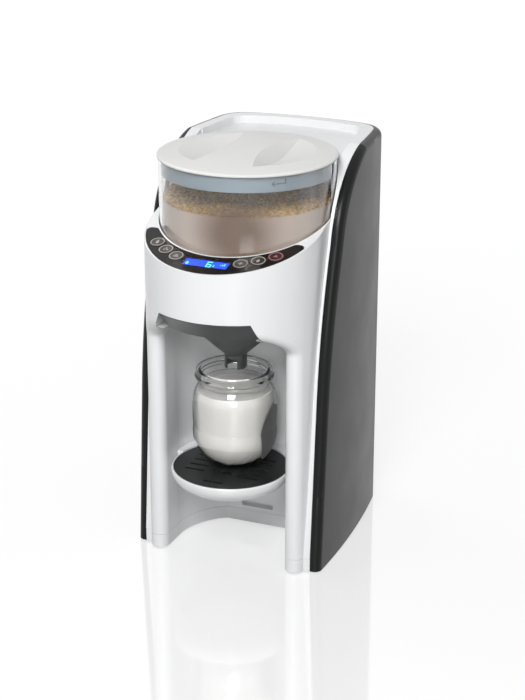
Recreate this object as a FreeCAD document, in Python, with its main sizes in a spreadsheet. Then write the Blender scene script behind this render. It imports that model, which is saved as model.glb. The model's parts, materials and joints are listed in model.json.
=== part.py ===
"""Countertop baby formula maker, built as an assembly of separate pieces.

The frame has +Z up, +X to the right and the front of the machine towards -Y.  Its origin is on
the surface that the machine stands on, below the middle of its bounding box.  Millimetres.
"""
import FreeCAD, Part
import math
import os
import re

import Sketcher

Vector = FreeCAD.Vector
doc = FreeCAD.newDocument("FormulaMaker")
sheet = doc.addObject("Spreadsheet::Sheet", "Sizes")
doc.recompute()

# ------------------------------------------------------------------------------------------
# The sheet of driving dimensions, and what binds the model to it
# ------------------------------------------------------------------------------------------
SIZES = {
    # Whole machine
    "half_depth": 142,  # half of the machine's depth
    "front_radius": 88,  # radius of the round front
    "core_half": 90.5,  # half width of the white core between the side panels
    "side_bulge": 10.8,  # how far each side bulges beyond the core at its widest
    "side_apex_y": -35,  # where along the depth it is widest
    "side_reach": 165.6,  # from the widest place to the rear corner
    "side_drop": 14,  # how much each side narrows over that reach
    "rear_drop": 11.4,  # how far the rear wall bows out
    "corner_radius": 34,  # rounding of the rear corners
    "gap": 0.3,  # clearance between pieces that sit beside each other
    "shell_wall": 3,  # wall of the white front shell
    "panel_wall": 3,  # wall of the dark side panels
    "panel_round": 7.5,  # rounding of the side panels' outer edge
    "base_height": 1.5,  # underside of the plinth above the table
    "plinth_top": 15,  # seam between the plinth and the front shell
    # Side view of the dark panels' front edge and of the top
    "edge_foot_y": -81,  # front edge of the side panel at the table
    "edge_low_y": -68,  # same, where its straight part ends
    "edge_low_z": 160,  # height of that place
    "edge_mid_y": -54,  # same, half way up the lower bend
    "edge_mid_z": 258,  # height of that place
    "edge_high_y": -34,  # same, where the shoulder begins
    "edge_high_drop": 81.5,  # how far that place lies below the rim of the rear deck
    "shoulder_y": -4,  # same, half way over the shoulder
    "shoulder_drop": 26.5,  # how far that place lies below that rim
    "deck_front_y": 44,  # where the shoulder becomes the level rim
    "rim_top": 410.5,  # height of the rim round the rear deck
    "deck_depth": 8,  # depth of the rear deck inside its rim
    "rim_width": 11,  # width of that rim
    # Head with its tilted top and the well for the container
    "tilt_rise": 0.28,  # rise of the tilted top per unit of depth
    "tilt_drop": 50.1,  # from that rim down to where the tilted top passes over the origin
    "well_y": -23,  # axis of the powder container and its well
    "well_radius": 87.3,  # radius of the well
    "well_floor": 290,  # floor of the well
    "drive_hole": 9.5,  # hole in the well's floor for the drive dog
    "outlet_reach": 35,  # from the container's axis to the powder outlet
    "outlet_radius": 13,  # radius of the powder outlet
    # Bottle bay
    "bay_half": 64.5,  # half width of the bay between the legs
    "bay_top": 254.2,  # ceiling of the bay
    "bay_bend_y": -59,  # where the bay's side walls begin to curve in
    "bay_mid_x": 54.5,  # a place on that curve, from the middle
    "bay_mid_y": -20,  # the same place, along the depth
    "bay_corner_x": 35,  # half width of the bay's flat rear wall
    "bay_back_y": 0,  # rear wall of the bay
    "leg_round": 9.5,  # rounding of the legs' fronts
    "arch_radius": 24,  # corners of the bay's opening
    "slot_half": 17.5,  # half width of the slots that hold the tray
    "slot_height": 6.2,  # height of those slots
    "slot_step": 33.5,  # distance from one slot to the next
    "slot_low_z": 23,  # middle of the lowest slot
    "slot_wall": 1.6,  # wall of those slots
    "slot_deep": 9,  # depth of those slots behind the bay's rear wall
    "liner_front_y": -59.3,  # front edge of the lining behind the legs
    "plate_half": 33.5,  # half width of the plate with the slots
    # Openings and walls of the white housing
    "panel_rear_x": 74,  # half width of the opening between the side panels at the rear
    "tank_bottom": 152,  # underside of the water tank
    "shell_rear_y": 69,  # rear end of the front shell below the deck lid
    "shell_ledge": 395,  # top of the front shell where the deck lid covers it
    "notch_half": 47.3,  # half width of the opening for the funnel drawer
    "notch_top": 272.3,  # top of that opening
    "notch_flare": 56,  # half width of that opening where it meets the bay's arch
    "notch_flare_y": -98,  # rear end of its flared sides
    "notch_rear_y": -9,  # rear end of that opening in the bay's ceiling
    "solid_rear_y": -75,  # rear end of the thick fronts of the legs and of the arch
    # Control panel on the tilted top
    "panel_lip": 1.6,  # white lip between the well and the control panel
    "panel_margin": 1.7,  # white margin between the control panel and the round front
    "panel_end_y": -76,  # ends of the control panel's crescent
    "panel_end_round": 5,  # rounding of its four corners
    "panel_depth": 2.2,  # thickness of the control panel
    "panel_proud": 0.2,  # how far it stands above the tilted top
    "button_radius": 7.4,  # radius of the buttons
    "button_gap": 0.35,  # clearance round a button
    "button_proud": 0.5,  # how far the buttons stand above the control panel
    "button_depth": 4.4,  # height of a button's cap
    "button_travel": 1.0,  # travel of a button
    "button_outer_x": 61,  # outer buttons, from the middle
    "button_outer_y": -99.5,  # outer buttons, along the depth
    "button_middle_x": 47.5,  # middle buttons, from the middle
    "button_middle_y": -109.5,  # middle buttons, along the depth
    "button_inner_x": 33,  # inner buttons, from the middle
    "button_inner_y": -117.6,  # inner buttons, along the depth
    "display_width": 47,  # width of the display window
    "display_depth": 13,  # depth of the display window, seen from above
    "display_y": -122.6,  # middle of the display window, along the depth
    "display_thick": 1.2,  # thickness of the display window
    "board_drop": 6.4,  # underside of the control panel to the control board
    "board_thick": 1.6,  # thickness of the circuit boards
    # Rear of the machine
    "tank_half": 73.6,  # half width of the water tank
    "tank_front_y": 72,  # front wall of the water tank
    "tank_wall": 2.6,  # wall of the water tank
    "rim_inset": 7.3,  # from the machine's outline to the white rim of the deck
    "lid_plate": 2.6,  # thickness of the deck lid
    "cover_lip": 14,  # depth of the rear cover's lips, from the machine's rear
    "vent_count": 6,  # cooling slots in the rear cover
    "vent_pitch": 8,  # distance between the cooling slots
    "vent_half": 24,  # half length of a cooling slot
    "inlet_z": 28,  # middle of the mains inlet
    "inlet_half": 13.5,  # half width of the opening for the mains inlet
    "inlet_tall": 19,  # height of that opening
    # Valve in the tank's floor
    "valve_y": 112,  # axis of the tank's valve, along the depth
    "valve_radius": 9,  # radius of the hole for the tank's valve
    # Powder container's outside
    "lid_radius": 88,  # radius of the container's lid
    "lid_edge_z": 409,  # height of the lid's edge
    "lid_low_z": 406,  # underside of the lid's edge
    "lid_crown": 6.5,  # rise of the lid's crown
    "tub_radius": 86.8,  # outer radius of the clear container
    "tub_wall": 2.4,  # wall of the clear container
    "tub_floor": 309,  # inner floor of the clear container
    "tub_floor_thick": 3,  # thickness of that floor
    "tub_top": 405.7,  # rim of the clear container
    "collar_low": 391,  # lower edge of the frosted collar
    "collar_wall": 3.2,  # thickness of the frosted collar
    # Powder container's inside and its lid
    "base_low": 290.3,  # underside of the container's base
    "base_radius": 84,  # radius of the container's base
    "base_wall": 2.5,  # wall of the container's base
    "wheel_low": 293.4,  # underside of the portion wheel
    "wheel_top": 305.6,  # top of the portion wheel
    "wheel_radius": 52,  # radius of the portion wheel
    "wheel_pockets": 8,  # portion pockets in the wheel
    "pocket_radius": 8,  # radius of a portion pocket
    "dog_width": 11,  # width across the square drive dog
    "dog_top": 299,  # top of the drive dog
    "dog_play": 0.4,  # play of the drive dog in its socket
    "spindle_radius": 6,  # radius of the agitator's spindle
    "running_gap": 0.05,  # radial clearance of a running fit
    "hub_radius": 11,  # radius of the agitator's hub
    "hub_top": 317,  # top of the agitator's hub
    "arm_reach": 79,  # reach of the agitator's arms
    "arm_width": 6,  # width of the agitator's arms
    "arm_low": 309.6,  # underside of the agitator's arms
    "arm_top": 314,  # top of the agitator's arms
    "powder_low": 319,  # lower limit of the powder above the agitator
    "powder_top": 370,  # level of the powder at the wall
    "powder_heap": 3,  # rise of the powder towards the middle
    "recess_radius": 66.5,  # outer radius of the lid's finger recesses
    "recess_chord": 30.5,  # half width of the grip bar between the recesses
    "recess_depth": 11,  # depth of the finger recesses
    "recess_wall_x": 264,  # axis of a recess's inner wall, from the middle
    "recess_wall_radius": 241,  # radius of that wall at its middle height
    "recess_wall_z": 411.8,  # that height
    "recess_wall_slope": 0.96,  # how fast that radius grows with height
    "lid_wall": 2.2,  # wall of the lid
    "lid_edge_round": 1.6,  # soft edge of the lid, measured inwards
    "lid_edge_rise": 0.4,  # rise of the lid's top over that soft edge
    "gasket_height": 3,  # height of the lid's gasket
    # Drive under the well
    "gear_module": 1.5,  # module of the drive gears
    "gear_teeth": 26,  # teeth of the drive gear
    "idler_teeth": 22,  # teeth of the idler gear
    "pinion_teeth": 14,  # teeth of the motor pinion
    "gear_low": 276.4,  # underside of the drive gear
    "gear_top": 283.4,  # top of the drive gear
    "mesh_play": 0.12,  # extra distance between the gears' axes
    "journal_radius": 8,  # radius of the drive gear's journal
    "bush_radius": 9.4,  # outer radius of the bush in the well's floor
    "bush_flange": 12,  # radius of the bush's flange
    "bush_flange_thick": 2.4,  # thickness of the bush's flange
    "bracket_low": 273,  # underside of the motor bracket
    "bracket_thick": 2.2,  # thickness of the motor bracket
    "bracket_half": 30,  # half width of the motor bracket
    "bracket_front_y": -42,  # front end of the motor bracket
    "bracket_rear_y": 63,  # rear end of the motor bracket
    "motor_radius": 17,  # radius of the motor
    "motor_length": 48,  # length of the motor
    "motor_shaft_radius": 2.5,  # radius of the motor's shaft
    "idler_pin_radius": 4,  # radius of the idler gear's pin
    "post_radius": 3.5,  # radius of the bracket's posts
    "screw_radius": 1.4,  # radius of the small screws
    "screw_head": 2,  # height of the screws' heads
    "screw_head_radius": 2.8,  # radius of the screws' heads
    # Funnel drawer and its runners
    "drawer_half": 46.9,  # half width of the funnel drawer
    "drawer_low": 251,  # underside of the drawer
    "drawer_top": 271.7,  # top of the drawer
    "drawer_rear_y": -12,  # rear end of the drawer
    "drawer_wall": 2.4,  # wall of the drawer
    "visor_run": 20.8,  # how far the sloped front runs in from its upper edge
    "visor_thick": 3,  # thickness of the sloped front at its lower edge
    "visor_inset": 0.2,  # the sloped front's upper edge, in from the round front
    "funnel_y": -54.5,  # axis of the funnel's spout
    "funnel_mouth": 44.6,  # radius of the funnel's mouth
    "funnel_mouth_z": 244.4,  # height where the cone meets the mouth's upright wall
    "funnel_neck": 11.4,  # radius where the cone meets the spout
    "funnel_neck_z": 213.5,  # height of that place
    "spout_radius": 11,  # radius of the spout
    "spout_low": 198.9,  # lower end of the spout
    "spout_notch_half": 5.4,  # half width of the notch in the spout's front
    "spout_notch_tall": 11,  # height of that notch
    "spout_wall": 1.8,  # wall of the spout and the cone
    "groove_low": 258,  # lower side of the drawer's grooves
    "groove_tall": 3.4,  # height of the drawer's grooves
    "groove_deep": 2.0,  # depth of the drawer's grooves
    # Tray, its dark grid, and the bottle on it
    "tray_y": -68,  # axis of the round tray
    "tray_radius": 60,  # radius of the tray's rim
    "tray_low": 79.2,  # underside of the tray
    "tray_rim_z": 97.4,  # rim of the tray
    "tray_floor": 82.2,  # floor inside the tray
    "tray_belly": 42,  # radius where the tray's rounded underside begins
    "shelf_low": 90,  # underside of the tray's shelf behind the grid
    "shelf_top": 98.6,  # top of that shelf
    "shelf_gap": 0.8,  # clearance between that shelf and the bay's walls
    "grid_top": 97.4,  # top of the dark grid
    "grid_thick": 2.4,  # thickness of the grid
    "grid_radius": 57.8,  # radius of the grid
    "grid_slot_half": 11,  # half length of a drain slot
    "grid_slot_width": 3.6,  # width of a drain slot
    "grid_slot_x": 29,  # middle of a side row's drain slot
    "grid_pitch": 11.7,  # distance between rows of drain slots
    "grid_end_y": 44.6,  # front and rear drain slots, from the grid's middle
    "thumb_y": -21.5,  # thumb scoop, from the grid's middle
    "thumb_radius": 13,  # radius of the thumb scoop
    "thumb_depth": 1.9,  # depth of the thumb scoop
    "thumb_hole_half": 10.5,  # half width of the half-moon hole behind the scoop
    "thumb_hole_reach": 7,  # reach of that hole towards the rear
    "arm_half": 16.5,  # half width of the tray's arm
    "arm_thick": 5,  # thickness of the tray's arm
    "arm_end_y": 7,  # rear end of the tray's arm, inside the wall's slot
    "arm_hook": 3.4,  # length of the thicker lip at the arm's end
    "bottle_y": -58,  # axis of the bottle
    "bottle_rim_z": 198.4,  # rim of the bottle
    "bottle_rim_radius": 38,  # radius of the bottle's rim
    "bottle_bead_radius": 39.6,  # radius of the bead below the rim
    "bottle_bead_z": 192,  # height of the bead
    "bottle_neck_radius": 35.2,  # radius of the neck
    "bottle_neck_z": 184,  # height of the neck
    "bottle_body_radius": 41.6,  # greatest radius of the bottle
    "bottle_body_z": 167,  # height of that place
    "bottle_foot_radius": 17,  # radius of the bottle's flat foot
    "bottle_wall": 1.8,  # wall of the bottle
    "milk_top": 178,  # level of the mixed formula
    "grip_low": 106,  # lower end of the grip inlays
    "grip_high": 166,  # upper end of the grip inlays
    "grip_half": 19,  # half width of the grip inlays
    "grip_thick": 0.9,  # thickness of the grip inlays
    # Water side and electrics behind the bay
    "frame_front_y": 69.3,  # front wall of the rear frame
    "frame_wall": 2.3,  # wall of the rear frame
    "frame_rear_y": 116,  # rear end of the frame's side walls
    "frame_top": 388,  # top of the rear frame
    "seat_radius": 14,  # outer radius of the tank's valve seat
    "seat_low": 133,  # underside of the valve seat
    "valve_low": 142,  # lower end of the tank's valve
    "valve_flange": 13,  # radius of the valve's flange
    "seal_thick": 2.1,  # thickness of the valve's seal
    "heater_x": -50,  # axis of the water heater, from the middle
    "heater_y": 36,  # axis of the water heater, along the depth
    "heater_radius": 20,  # radius of the water heater
    "heater_low": 44,  # underside of the heater's vessel
    "heater_top": 152,  # top of the heater's vessel
    "port_radius": 3.4,  # radius of the hose nipples
    "port_length": 7,  # length of the hose nipples
    "port_offset": 8,  # heater's nipples, from its axis
    "pump_x": 50,  # axis of the water pump, from the middle
    "pump_radius": 17,  # radius of the pump's motor
    "pump_head_radius": 20,  # radius of the pump's head
    "pump_top": 92,  # top of the pump's head
    "hose_radius": 4.6,  # outer radius of the hoses
    "hose_bend": 13,  # bend of the hoses, at their middle line
    "nozzle_x": -26,  # water nozzle, from the middle
    "nozzle_y": -54,  # water nozzle, along the depth
    "nozzle_low": 273.2,  # lower end of the water nozzle
    "nozzle_hose_z": 279.4,  # height of the hose that feeds the nozzle
    "board_left": 20,  # left edge of the power board
    "board_right": 70,  # right edge of the power board
    "board_low": 165,  # lower edge of the power board
    "board_high": 240,  # upper edge of the power board
    "foot_radius": 6.6,  # radius of the rubber feet
    "foot_height": 2.6,  # height of the rubber feet
    "foot_front_x": 75.6,  # front feet, from the middle
    "foot_front_y": -79,  # front feet, along the depth
    "foot_rear_x": 70,  # rear feet, from the middle
    "foot_rear_y": 104,  # rear feet, along the depth
    "pin_radius": 1.2,  # radius of the mains inlet's pins
}


def fill_sheet(sizes):
    """Write each driving dimension in the sheet, under its own name."""
    for row, (alias, value) in enumerate(sizes.items(), start=1):
        sheet.set("A%d" % row, alias)
        sheet.set("B%d" % row, str(value))
        sheet.setAlias("B%d" % row, alias)
    doc.recompute()


nodes = {}
fill_sheet(SIZES)


def sheet_terms(text):
    """Point each size named in a formula at the sheet."""
    functions = ("sqrt", "sin", "cos", "tan", "atan", "abs", "min", "max", "deg")
    return re.sub(r"[a-z][a-z_0-9]*", lambda word: word.group(0) if word.group(0) in functions
                  else "Sizes." + word.group(0), str(text))


def value_of(text):
    """The present value of a formula in millimetres or degrees."""
    result = sheet.evalExpression(sheet_terms(text))
    return float(getattr(result, "Value", result))


def bind(item, prop, text):
    """Bind a property of an object to a formula over the sheet."""
    item.setExpression(prop, sheet_terms(text))


FRONT_AXIS = "(front_radius-half_depth)"
SIDE_HALF = "(core_half+side_bulge)"
TILT = "(rim_top-tilt_drop+tilt_rise*%s)"


def origin_plane(body, role):
    """The plane of a body's own origin that has this role."""
    return [item for item in body.Origin.OriginFeatures if item.Role == role][0]


def new_body(label):
    """An empty body with a name of its own."""
    body = doc.addObject("PartDesign::Body", label)
    body.Label = label
    return body


def sketch_on(body, role="XY_Plane", along="0", across="0", up="0"):
    """An empty sketch on one of the body's planes, moved by formulas in the sketch's own axes."""
    sketch = body.newObject("Sketcher::SketchObject", "outline")
    sketch.AttachmentSupport = [(origin_plane(body, role), "")]
    sketch.MapMode = "FlatFace"
    bind(sketch, "AttachmentOffset.Base.x", across)
    bind(sketch, "AttachmentOffset.Base.y", up)
    bind(sketch, "AttachmentOffset.Base.z", along)
    return sketch


def corner(across, up, rounding=None, bow=None):
    """One corner of an outline.  Bow is a place on the arc that leads to the next corner."""
    return {"x": str(across), "y": str(up), "round": rounding, "bow": bow}


def pin_point(sketch, geometry, end, across, up):
    """Hold one point of a sketch at a place given by two formulas."""
    for kind, text in (("DistanceX", across), ("DistanceY", up)):
        index = sketch.addConstraint(Sketcher.Constraint(kind, geometry, end, value_of(text)))
        sketch.setExpression("Constraints[%d]" % index, sheet_terms(text))


def rounding_of(before, here, after, radius):
    """Where a corner's rounding leaves its two lines, and a place half way along it."""
    to_before = (before - here).normalize()
    to_after = (after - here).normalize()
    half_angle = to_before.getAngle(to_after) / 2
    middle = (to_before + to_after).normalize()
    reach = radius / math.tan(half_angle)
    centre = here + middle * (radius / math.sin(half_angle))
    return here + to_before * reach, centre - middle * radius, here + to_after * reach


def draw(sketch, corners):
    """Draw a closed outline of lines and arcs and bind its corners to the sheet."""
    places = [Vector(value_of(c["x"]), value_of(c["y"]), 0) for c in corners]
    count = len(corners)
    leave = list(places)
    arrive = list(places)
    rounds = {}
    for i, item in enumerate(corners):
        if item["round"]:
            radius = value_of(item["round"])
            spot = rounding_of(places[i - 1], places[i], places[(i + 1) % count], radius)
            arrive[i], leave[i] = spot[0], spot[2]
            rounds[i] = spot
    edges = []
    for i, item in enumerate(corners):
        after = (i + 1) % count
        if item["bow"]:
            through = Vector(value_of(item["bow"][0]), value_of(item["bow"][1]), 0)
            edges.append(Part.Arc(leave[i], through, arrive[after]))
        else:
            edges.append(Part.LineSegment(leave[i], arrive[after]))
    edge_ids = list(sketch.addGeometry(edges, False))

    def end_at(geometry, place):
        return 1 if sketch.getPoint(geometry, 1).distanceToPoint(place) < 1e-6 else 2

    for i, item in enumerate(corners):
        before, here = edge_ids[i - 1], edge_ids[i]
        if i in rounds:
            arc = sketch.addGeometry(Part.Arc(*rounds[i]), False)
            for edge, place in ((before, arrive[i]), (here, leave[i])):
                sketch.addConstraint(Sketcher.Constraint(
                    "Tangent", edge, end_at(edge, place), arc, end_at(arc, place)))
            index = sketch.addConstraint(Sketcher.Constraint(
                "Radius", arc, value_of(item["round"])))
            sketch.setExpression("Constraints[%d]" % index, sheet_terms(item["round"]))
            mark = sketch.addGeometry(Part.Point(places[i]), True)
            pin_point(sketch, mark, 1, item["x"], item["y"])
            for edge in (before, here):
                sketch.addConstraint(Sketcher.Constraint("PointOnObject", mark, 1, edge))
        else:
            sketch.addConstraint(Sketcher.Constraint(
                "Coincident", before, end_at(before, arrive[i]), here, end_at(here, leave[i])))
            pin_point(sketch, here, end_at(here, leave[i]), item["x"], item["y"])
        if item["bow"]:
            mark = sketch.addGeometry(Part.Point(Vector(
                value_of(item["bow"][0]), value_of(item["bow"][1]), 0)), True)
            pin_point(sketch, mark, 1, *item["bow"])
            sketch.addConstraint(Sketcher.Constraint("PointOnObject", mark, 1, here))


def draw_circle(sketch, across, up, radius):
    """Draw a circle and bind its centre and radius to the sheet."""
    centre = Vector(value_of(across), value_of(up), 0)
    circle = sketch.addGeometry(Part.Circle(centre, Vector(0, 0, 1), value_of(radius)), False)
    pin_point(sketch, circle, 3, across, up)
    index = sketch.addConstraint(Sketcher.Constraint("Radius", circle, value_of(radius)))
    sketch.setExpression("Constraints[%d]" % index, sheet_terms(radius))


def box_corners(low_x, high_x, low_y, high_y, rounding=None):
    """The four corners of a rectangle."""
    return [corner(low_x, low_y, rounding), corner(high_x, low_y, rounding),
            corner(high_x, high_y, rounding), corner(low_x, high_y, rounding)]


def pad(body, sketch, length, symmetric=False):
    """Extrude a sketch along its normal, or to both sides."""
    feature = body.newObject("PartDesign::Pad", "pad")
    feature.Profile = sketch
    if symmetric:
        feature.SideType = "Symmetric"
    bind(feature, "Length", length)
    sketch.Visibility = False
    return feature


def pocket(body, sketch, length, symmetric=False):
    """Cut a sketch out along its normal, or to both sides, and check that it cuts."""
    doc.recompute()
    before = body.Tip.Shape.Volume
    feature = body.newObject("PartDesign::Pocket", "pocket")
    feature.Profile = sketch
    feature.Reversed = not symmetric
    if symmetric:
        feature.SideType = "Symmetric"
    bind(feature, "Length", length)
    sketch.Visibility = False
    doc.recompute()
    if not feature.Shape.Volume < before:
        raise RuntimeError("%s: a pocket cut nothing" % body.Label)
    return feature


def block(body, outline, low, high, cut=False):
    """Add or cut a prism that stands between two heights; outline is corners or a circle."""
    sketch = sketch_on(body, along=low)
    if isinstance(outline, tuple):
        draw_circle(sketch, *outline)
    else:
        draw(sketch, outline)
    make = pocket if cut else pad
    return make(body, sketch, "(%s)-(%s)" % (high, low))


def side_block(body, outline, width, middle="0", cut=False):
    """Add or cut a prism across the machine, from an outline in the side view."""
    sketch = sketch_on(body, "YZ_Plane", along=middle)
    draw(sketch, outline)
    make = pocket if cut else pad
    return make(body, sketch, width, symmetric=True)


def turn(body, outline, across="0", along="0", cut=False):
    """Turn an outline of radii and heights about an upright axis at this place."""
    sketch = sketch_on(body, "XZ_Plane", along="-(%s)" % along, across=across)
    draw(sketch, outline)
    kind = "PartDesign::Groove" if cut else "PartDesign::Revolution"
    doc.recompute()
    before = body.Tip.Shape.Volume if cut else 0
    feature = body.newObject(kind, "turned")
    feature.Profile = sketch
    feature.ReferenceAxis = (sketch, ["V_Axis"])
    feature.Angle = 360
    sketch.Visibility = False
    if cut:
        doc.recompute()
        if not feature.Shape.Volume < before:
            raise RuntimeError("%s: a groove cut nothing" % body.Label)
    return feature


def round_edges(body, wanted, radius, kind="PartDesign::Fillet"):
    """Round or bevel the edges of a body that a test picks by their middle points."""
    doc.recompute()
    base = body.Tip
    names = []
    for i, edge in enumerate(base.Shape.Edges):
        middle = edge.valueAt((edge.FirstParameter + edge.LastParameter) / 2)
        if wanted(edge, middle):
            names.append("Edge%d" % (i + 1))
    if not names:
        raise RuntimeError("%s: no edge to round" % body.Label)
    feature = body.newObject(kind, "rounded")
    feature.Base = (base, names)
    bind(feature, "Radius" if kind == "PartDesign::Fillet" else "Size", radius)
    doc.recompute()
    return feature


def boolean(kind, label, base, tool):
    """Part::Cut or Part::Common of two objects, under a name of its own."""
    result = doc.addObject("Part::" + kind, label)
    result.Base = base
    result.Tool = tool
    doc.recompute()
    return result


def keep(item, name=None):
    """Mark an object as one of the pieces."""
    if name:
        item.Label = name
    nodes[item.Label] = item
    return item


# ------------------------------------------------------------------------------------------
# Outlines shared by the housing's pieces
# ------------------------------------------------------------------------------------------
def machine_form(label, inset, top, bottom, rounding):
    """The plan of the whole machine behind its round front, drawn in by an inset."""
    form = new_body(label)
    end_x = "(core_half+side_bulge)-side_drop-(%s)" % inset
    end_y = "side_apex_y+side_reach-(%s)" % inset
    front_y = "side_apex_y-side_reach"
    mid_x = "(core_half+side_bulge)-(%s)" % inset
    block(form, [
        corner("-(%s)" % end_x, front_y),
        corner(end_x, front_y, bow=(mid_x, "side_apex_y")),
        corner(end_x, end_y, bow=("0", "half_depth-(%s)" % inset)),
        corner("-(%s)" % end_x, end_y, bow=("-(%s)" % mid_x, "side_apex_y"))], bottom, top)
    rear = value_of(end_y)
    round_edges(form, lambda edge, middle: abs(middle.y - rear) < 0.01
                and abs(middle.z - value_of(bottom)) > 1 and abs(middle.z - value_of(top)) > 1
                and abs(middle.x) > 1, rounding)
    return form


def edge_profile(inset, rear_y, bottom="0"):
    """Side view behind the dark panels' front edge, drawn in by an inset."""
    def back(text):
        return "%s+(%s)" % (text, inset)

    def down(text):
        return "%s-(%s)" % (text, inset)

    return [
        corner(back("edge_foot_y"), bottom),
        corner(back("edge_low_y"), "edge_low_z", bow=(back("edge_mid_y"), "edge_mid_z")),
        corner(back("edge_high_y"), down("(rim_top-edge_high_drop)"),
               bow=(back("shoulder_y"), down("(rim_top-shoulder_drop)"))),
        corner("deck_front_y", down("rim_top")),
        corner(rear_y, down("rim_top")),
        corner(rear_y, bottom)]


def bay_plan(inset, front="-half_depth-10"):
    """Plan of the bottle bay, widened by an inset."""
    half = "bay_half+(%s)" % inset
    mid = ("bay_mid_x+(%s)*0.9" % inset, "bay_mid_y+(%s)*0.5" % inset)
    back_x = "bay_corner_x+(%s)*0.4" % inset
    back_y = "bay_back_y+(%s)" % inset
    return [
        corner("-(%s)" % half, front),
        corner(half, front),
        corner(half, "bay_bend_y", bow=mid),
        corner(back_x, back_y),
        corner("-(%s)" % back_x, back_y, bow=("-(%s)" % mid[0], mid[1])),
        corner("-(%s)" % half, "bay_bend_y")]


def round_front(inset, rear_y):
    """Plan of the round front, drawn in by an inset."""
    half = "front_radius-(%s)" % inset
    return [
        corner("-(%s)" % half, FRONT_AXIS, bow=("0", "-half_depth+(%s)" % inset)),
        corner(half, FRONT_AXIS),
        corner(half, rear_y),
        corner("-(%s)" % half, rear_y)]


# ------------------------------------------------------------------------------------------
# Housing: white front shell, plinth, dark side panels and rear cover
# ------------------------------------------------------------------------------------------

def shell_form(label, inset):
    """The white shell's outer form, or its hollow when drawn in by the wall."""
    form = new_body(label)
    low = "plinth_top+gap" if inset == "0" else "plinth_top-10"
    block(form, round_front(inset, "well_y+10"), low, "rim_top")
    lift = "-(%s)*1.04" % inset
    front_y, rear_y = "-half_depth-20", "well_y+20"
    side_block(form, [
        corner(front_y, TILT % ("(%s)" % front_y) + lift),
        corner(rear_y, TILT % ("(%s)" % rear_y) + lift),
        corner(rear_y, "rim_top+10"),
        corner(front_y, "rim_top+10")], "4*front_radius", cut=True)
    rear = "shell_rear_y" if inset == "0" else "shell_rear_y+10"
    side_block(form, edge_profile(inset, rear, low), "2*(core_half-(%s))" % inset)
    block(form, box_corners("-2*core_half", "2*core_half", "deck_front_y",
                            "shell_rear_y+20"), "shell_ledge-(%s)" % inset,
          "rim_top+10", cut=True)
    deck_half = "core_half-rim_width+(%s)" % inset
    block(form, box_corners("-(%s)" % deck_half, deck_half, "deck_front_y-46",
                            "shell_rear_y+20"), "(rim_top-deck_depth)-(%s)" % inset,
          "rim_top+10", cut=True)
    block(form, ("0", "well_y", "well_radius+(%s)" % inset), "well_floor-(%s)" % inset,
          "rim_top+10", cut=True)
    return boolean("Cut", label + "_open", form, bay_form(label + "_bay", inset))


def lining_form(label, inset):
    """The bay's space behind the legs, widened by an inset, from the plinth to the ceiling."""
    zone = new_body(label + "_zone")
    block(zone, box_corners("-" + SIDE_HALF, SIDE_HALF, "liner_front_y", "2*slot_deep+20"),
          "-20", "bay_top+20")
    return boolean("Common", label, bay_form(label + "_bay", inset), zone)


def bay_form(label, inset):
    """The space of the bottle bay, with the rounded top corners of its arch."""
    form = new_body(label)
    block(form, bay_plan(inset), "-10", "bay_top+(%s)" % inset)
    top = value_of("bay_top+(%s)" % inset)
    round_edges(form, lambda edge, middle: abs(middle.z - top) < 0.01
                and middle.y > value_of("-half_depth"), "arch_radius")
    return form


def opening_edges(shape, low):
    """The edges where the bay opens through the round front."""
    found = []
    axis_y = value_of(FRONT_AXIS)
    for i, edge in enumerate(shape.Edges):
        middle = edge.valueAt((edge.FirstParameter + edge.LastParameter) / 2)
        reach = math.hypot(middle.x, middle.y - axis_y)
        on_front = abs(reach - value_of("front_radius")) < 0.01
        if on_front and low + 1 < middle.z < value_of("bay_top") + 1 and \
                abs(middle.x) < value_of("bay_half") + 1 and middle.y < axis_y:
            found.append(i + 1)
    return found


def soften(label, base, low, radius):
    """Round the edges of the bay's opening."""
    result = doc.addObject("Part::Fillet", label)
    result.Base = base
    result.Edges = [(i, value_of(radius), value_of(radius))
                    for i in opening_edges(base.Shape, value_of(low))]
    doc.recompute()
    return result


def upright(text_y):
    """Height of the tilted top at a formula for the depth."""
    return TILT % ("(%s)" % text_y)


def crescent(inset, end_y):
    """Plan of the control panel: the crescent between the well and the round front."""
    inner = "well_radius+panel_lip+(%s)" % inset
    outer = "front_radius-panel_margin-(%s)" % inset
    inner_x = "sqrt((%s)^2-(%s-well_y)^2)" % (inner, end_y)
    outer_x = "sqrt((%s)^2-(%s-%s)^2)" % (outer, end_y, FRONT_AXIS)
    return [
        corner("-(%s)" % outer_x, end_y, bow=("0", "%s-(%s)" % (FRONT_AXIS, outer))),
        corner(outer_x, end_y),
        corner(inner_x, end_y, bow=("0", "well_y-(%s)" % inner)),
        corner("-(%s)" % inner_x, end_y)]


def tilted_layer(form, low, high):
    """Keep only what lies between two depths measured up from the tilted top."""
    front_y, rear_y = "-half_depth-20", "well_y+40"
    side_block(form, [
        corner(front_y, upright(front_y) + "+(%s)" % high),
        corner(rear_y, upright(rear_y) + "+(%s)" % high),
        corner(rear_y, "rim_top+60"),
        corner(front_y, "rim_top+60")], "4*front_radius", cut=True)
    side_block(form, [
        corner(front_y, upright(front_y) + "+(%s)" % low),
        corner(rear_y, upright(rear_y) + "+(%s)" % low),
        corner(rear_y, "well_floor-60"),
        corner(front_y, "well_floor-60")], "4*front_radius", cut=True)
    return form

BUTTONS = (("outer", -1), ("middle", -1), ("inner", -1), ("inner", 1), ("middle", 1), ("outer", 1))


def button_place(kind, side):
    """Where a button sits on the tilted top."""
    across = value_of("button_%s_x" % kind) * side
    along = value_of("button_%s_y" % kind)
    return Vector(across, along, value_of(upright("button_%s_y" % kind)))


def tilt_turn():
    """The turn that lays a piece's own Z along the normal of the tilted top."""
    return FreeCAD.Rotation(Vector(1, 0, 0), math.degrees(math.atan(value_of("tilt_rise"))))


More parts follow.
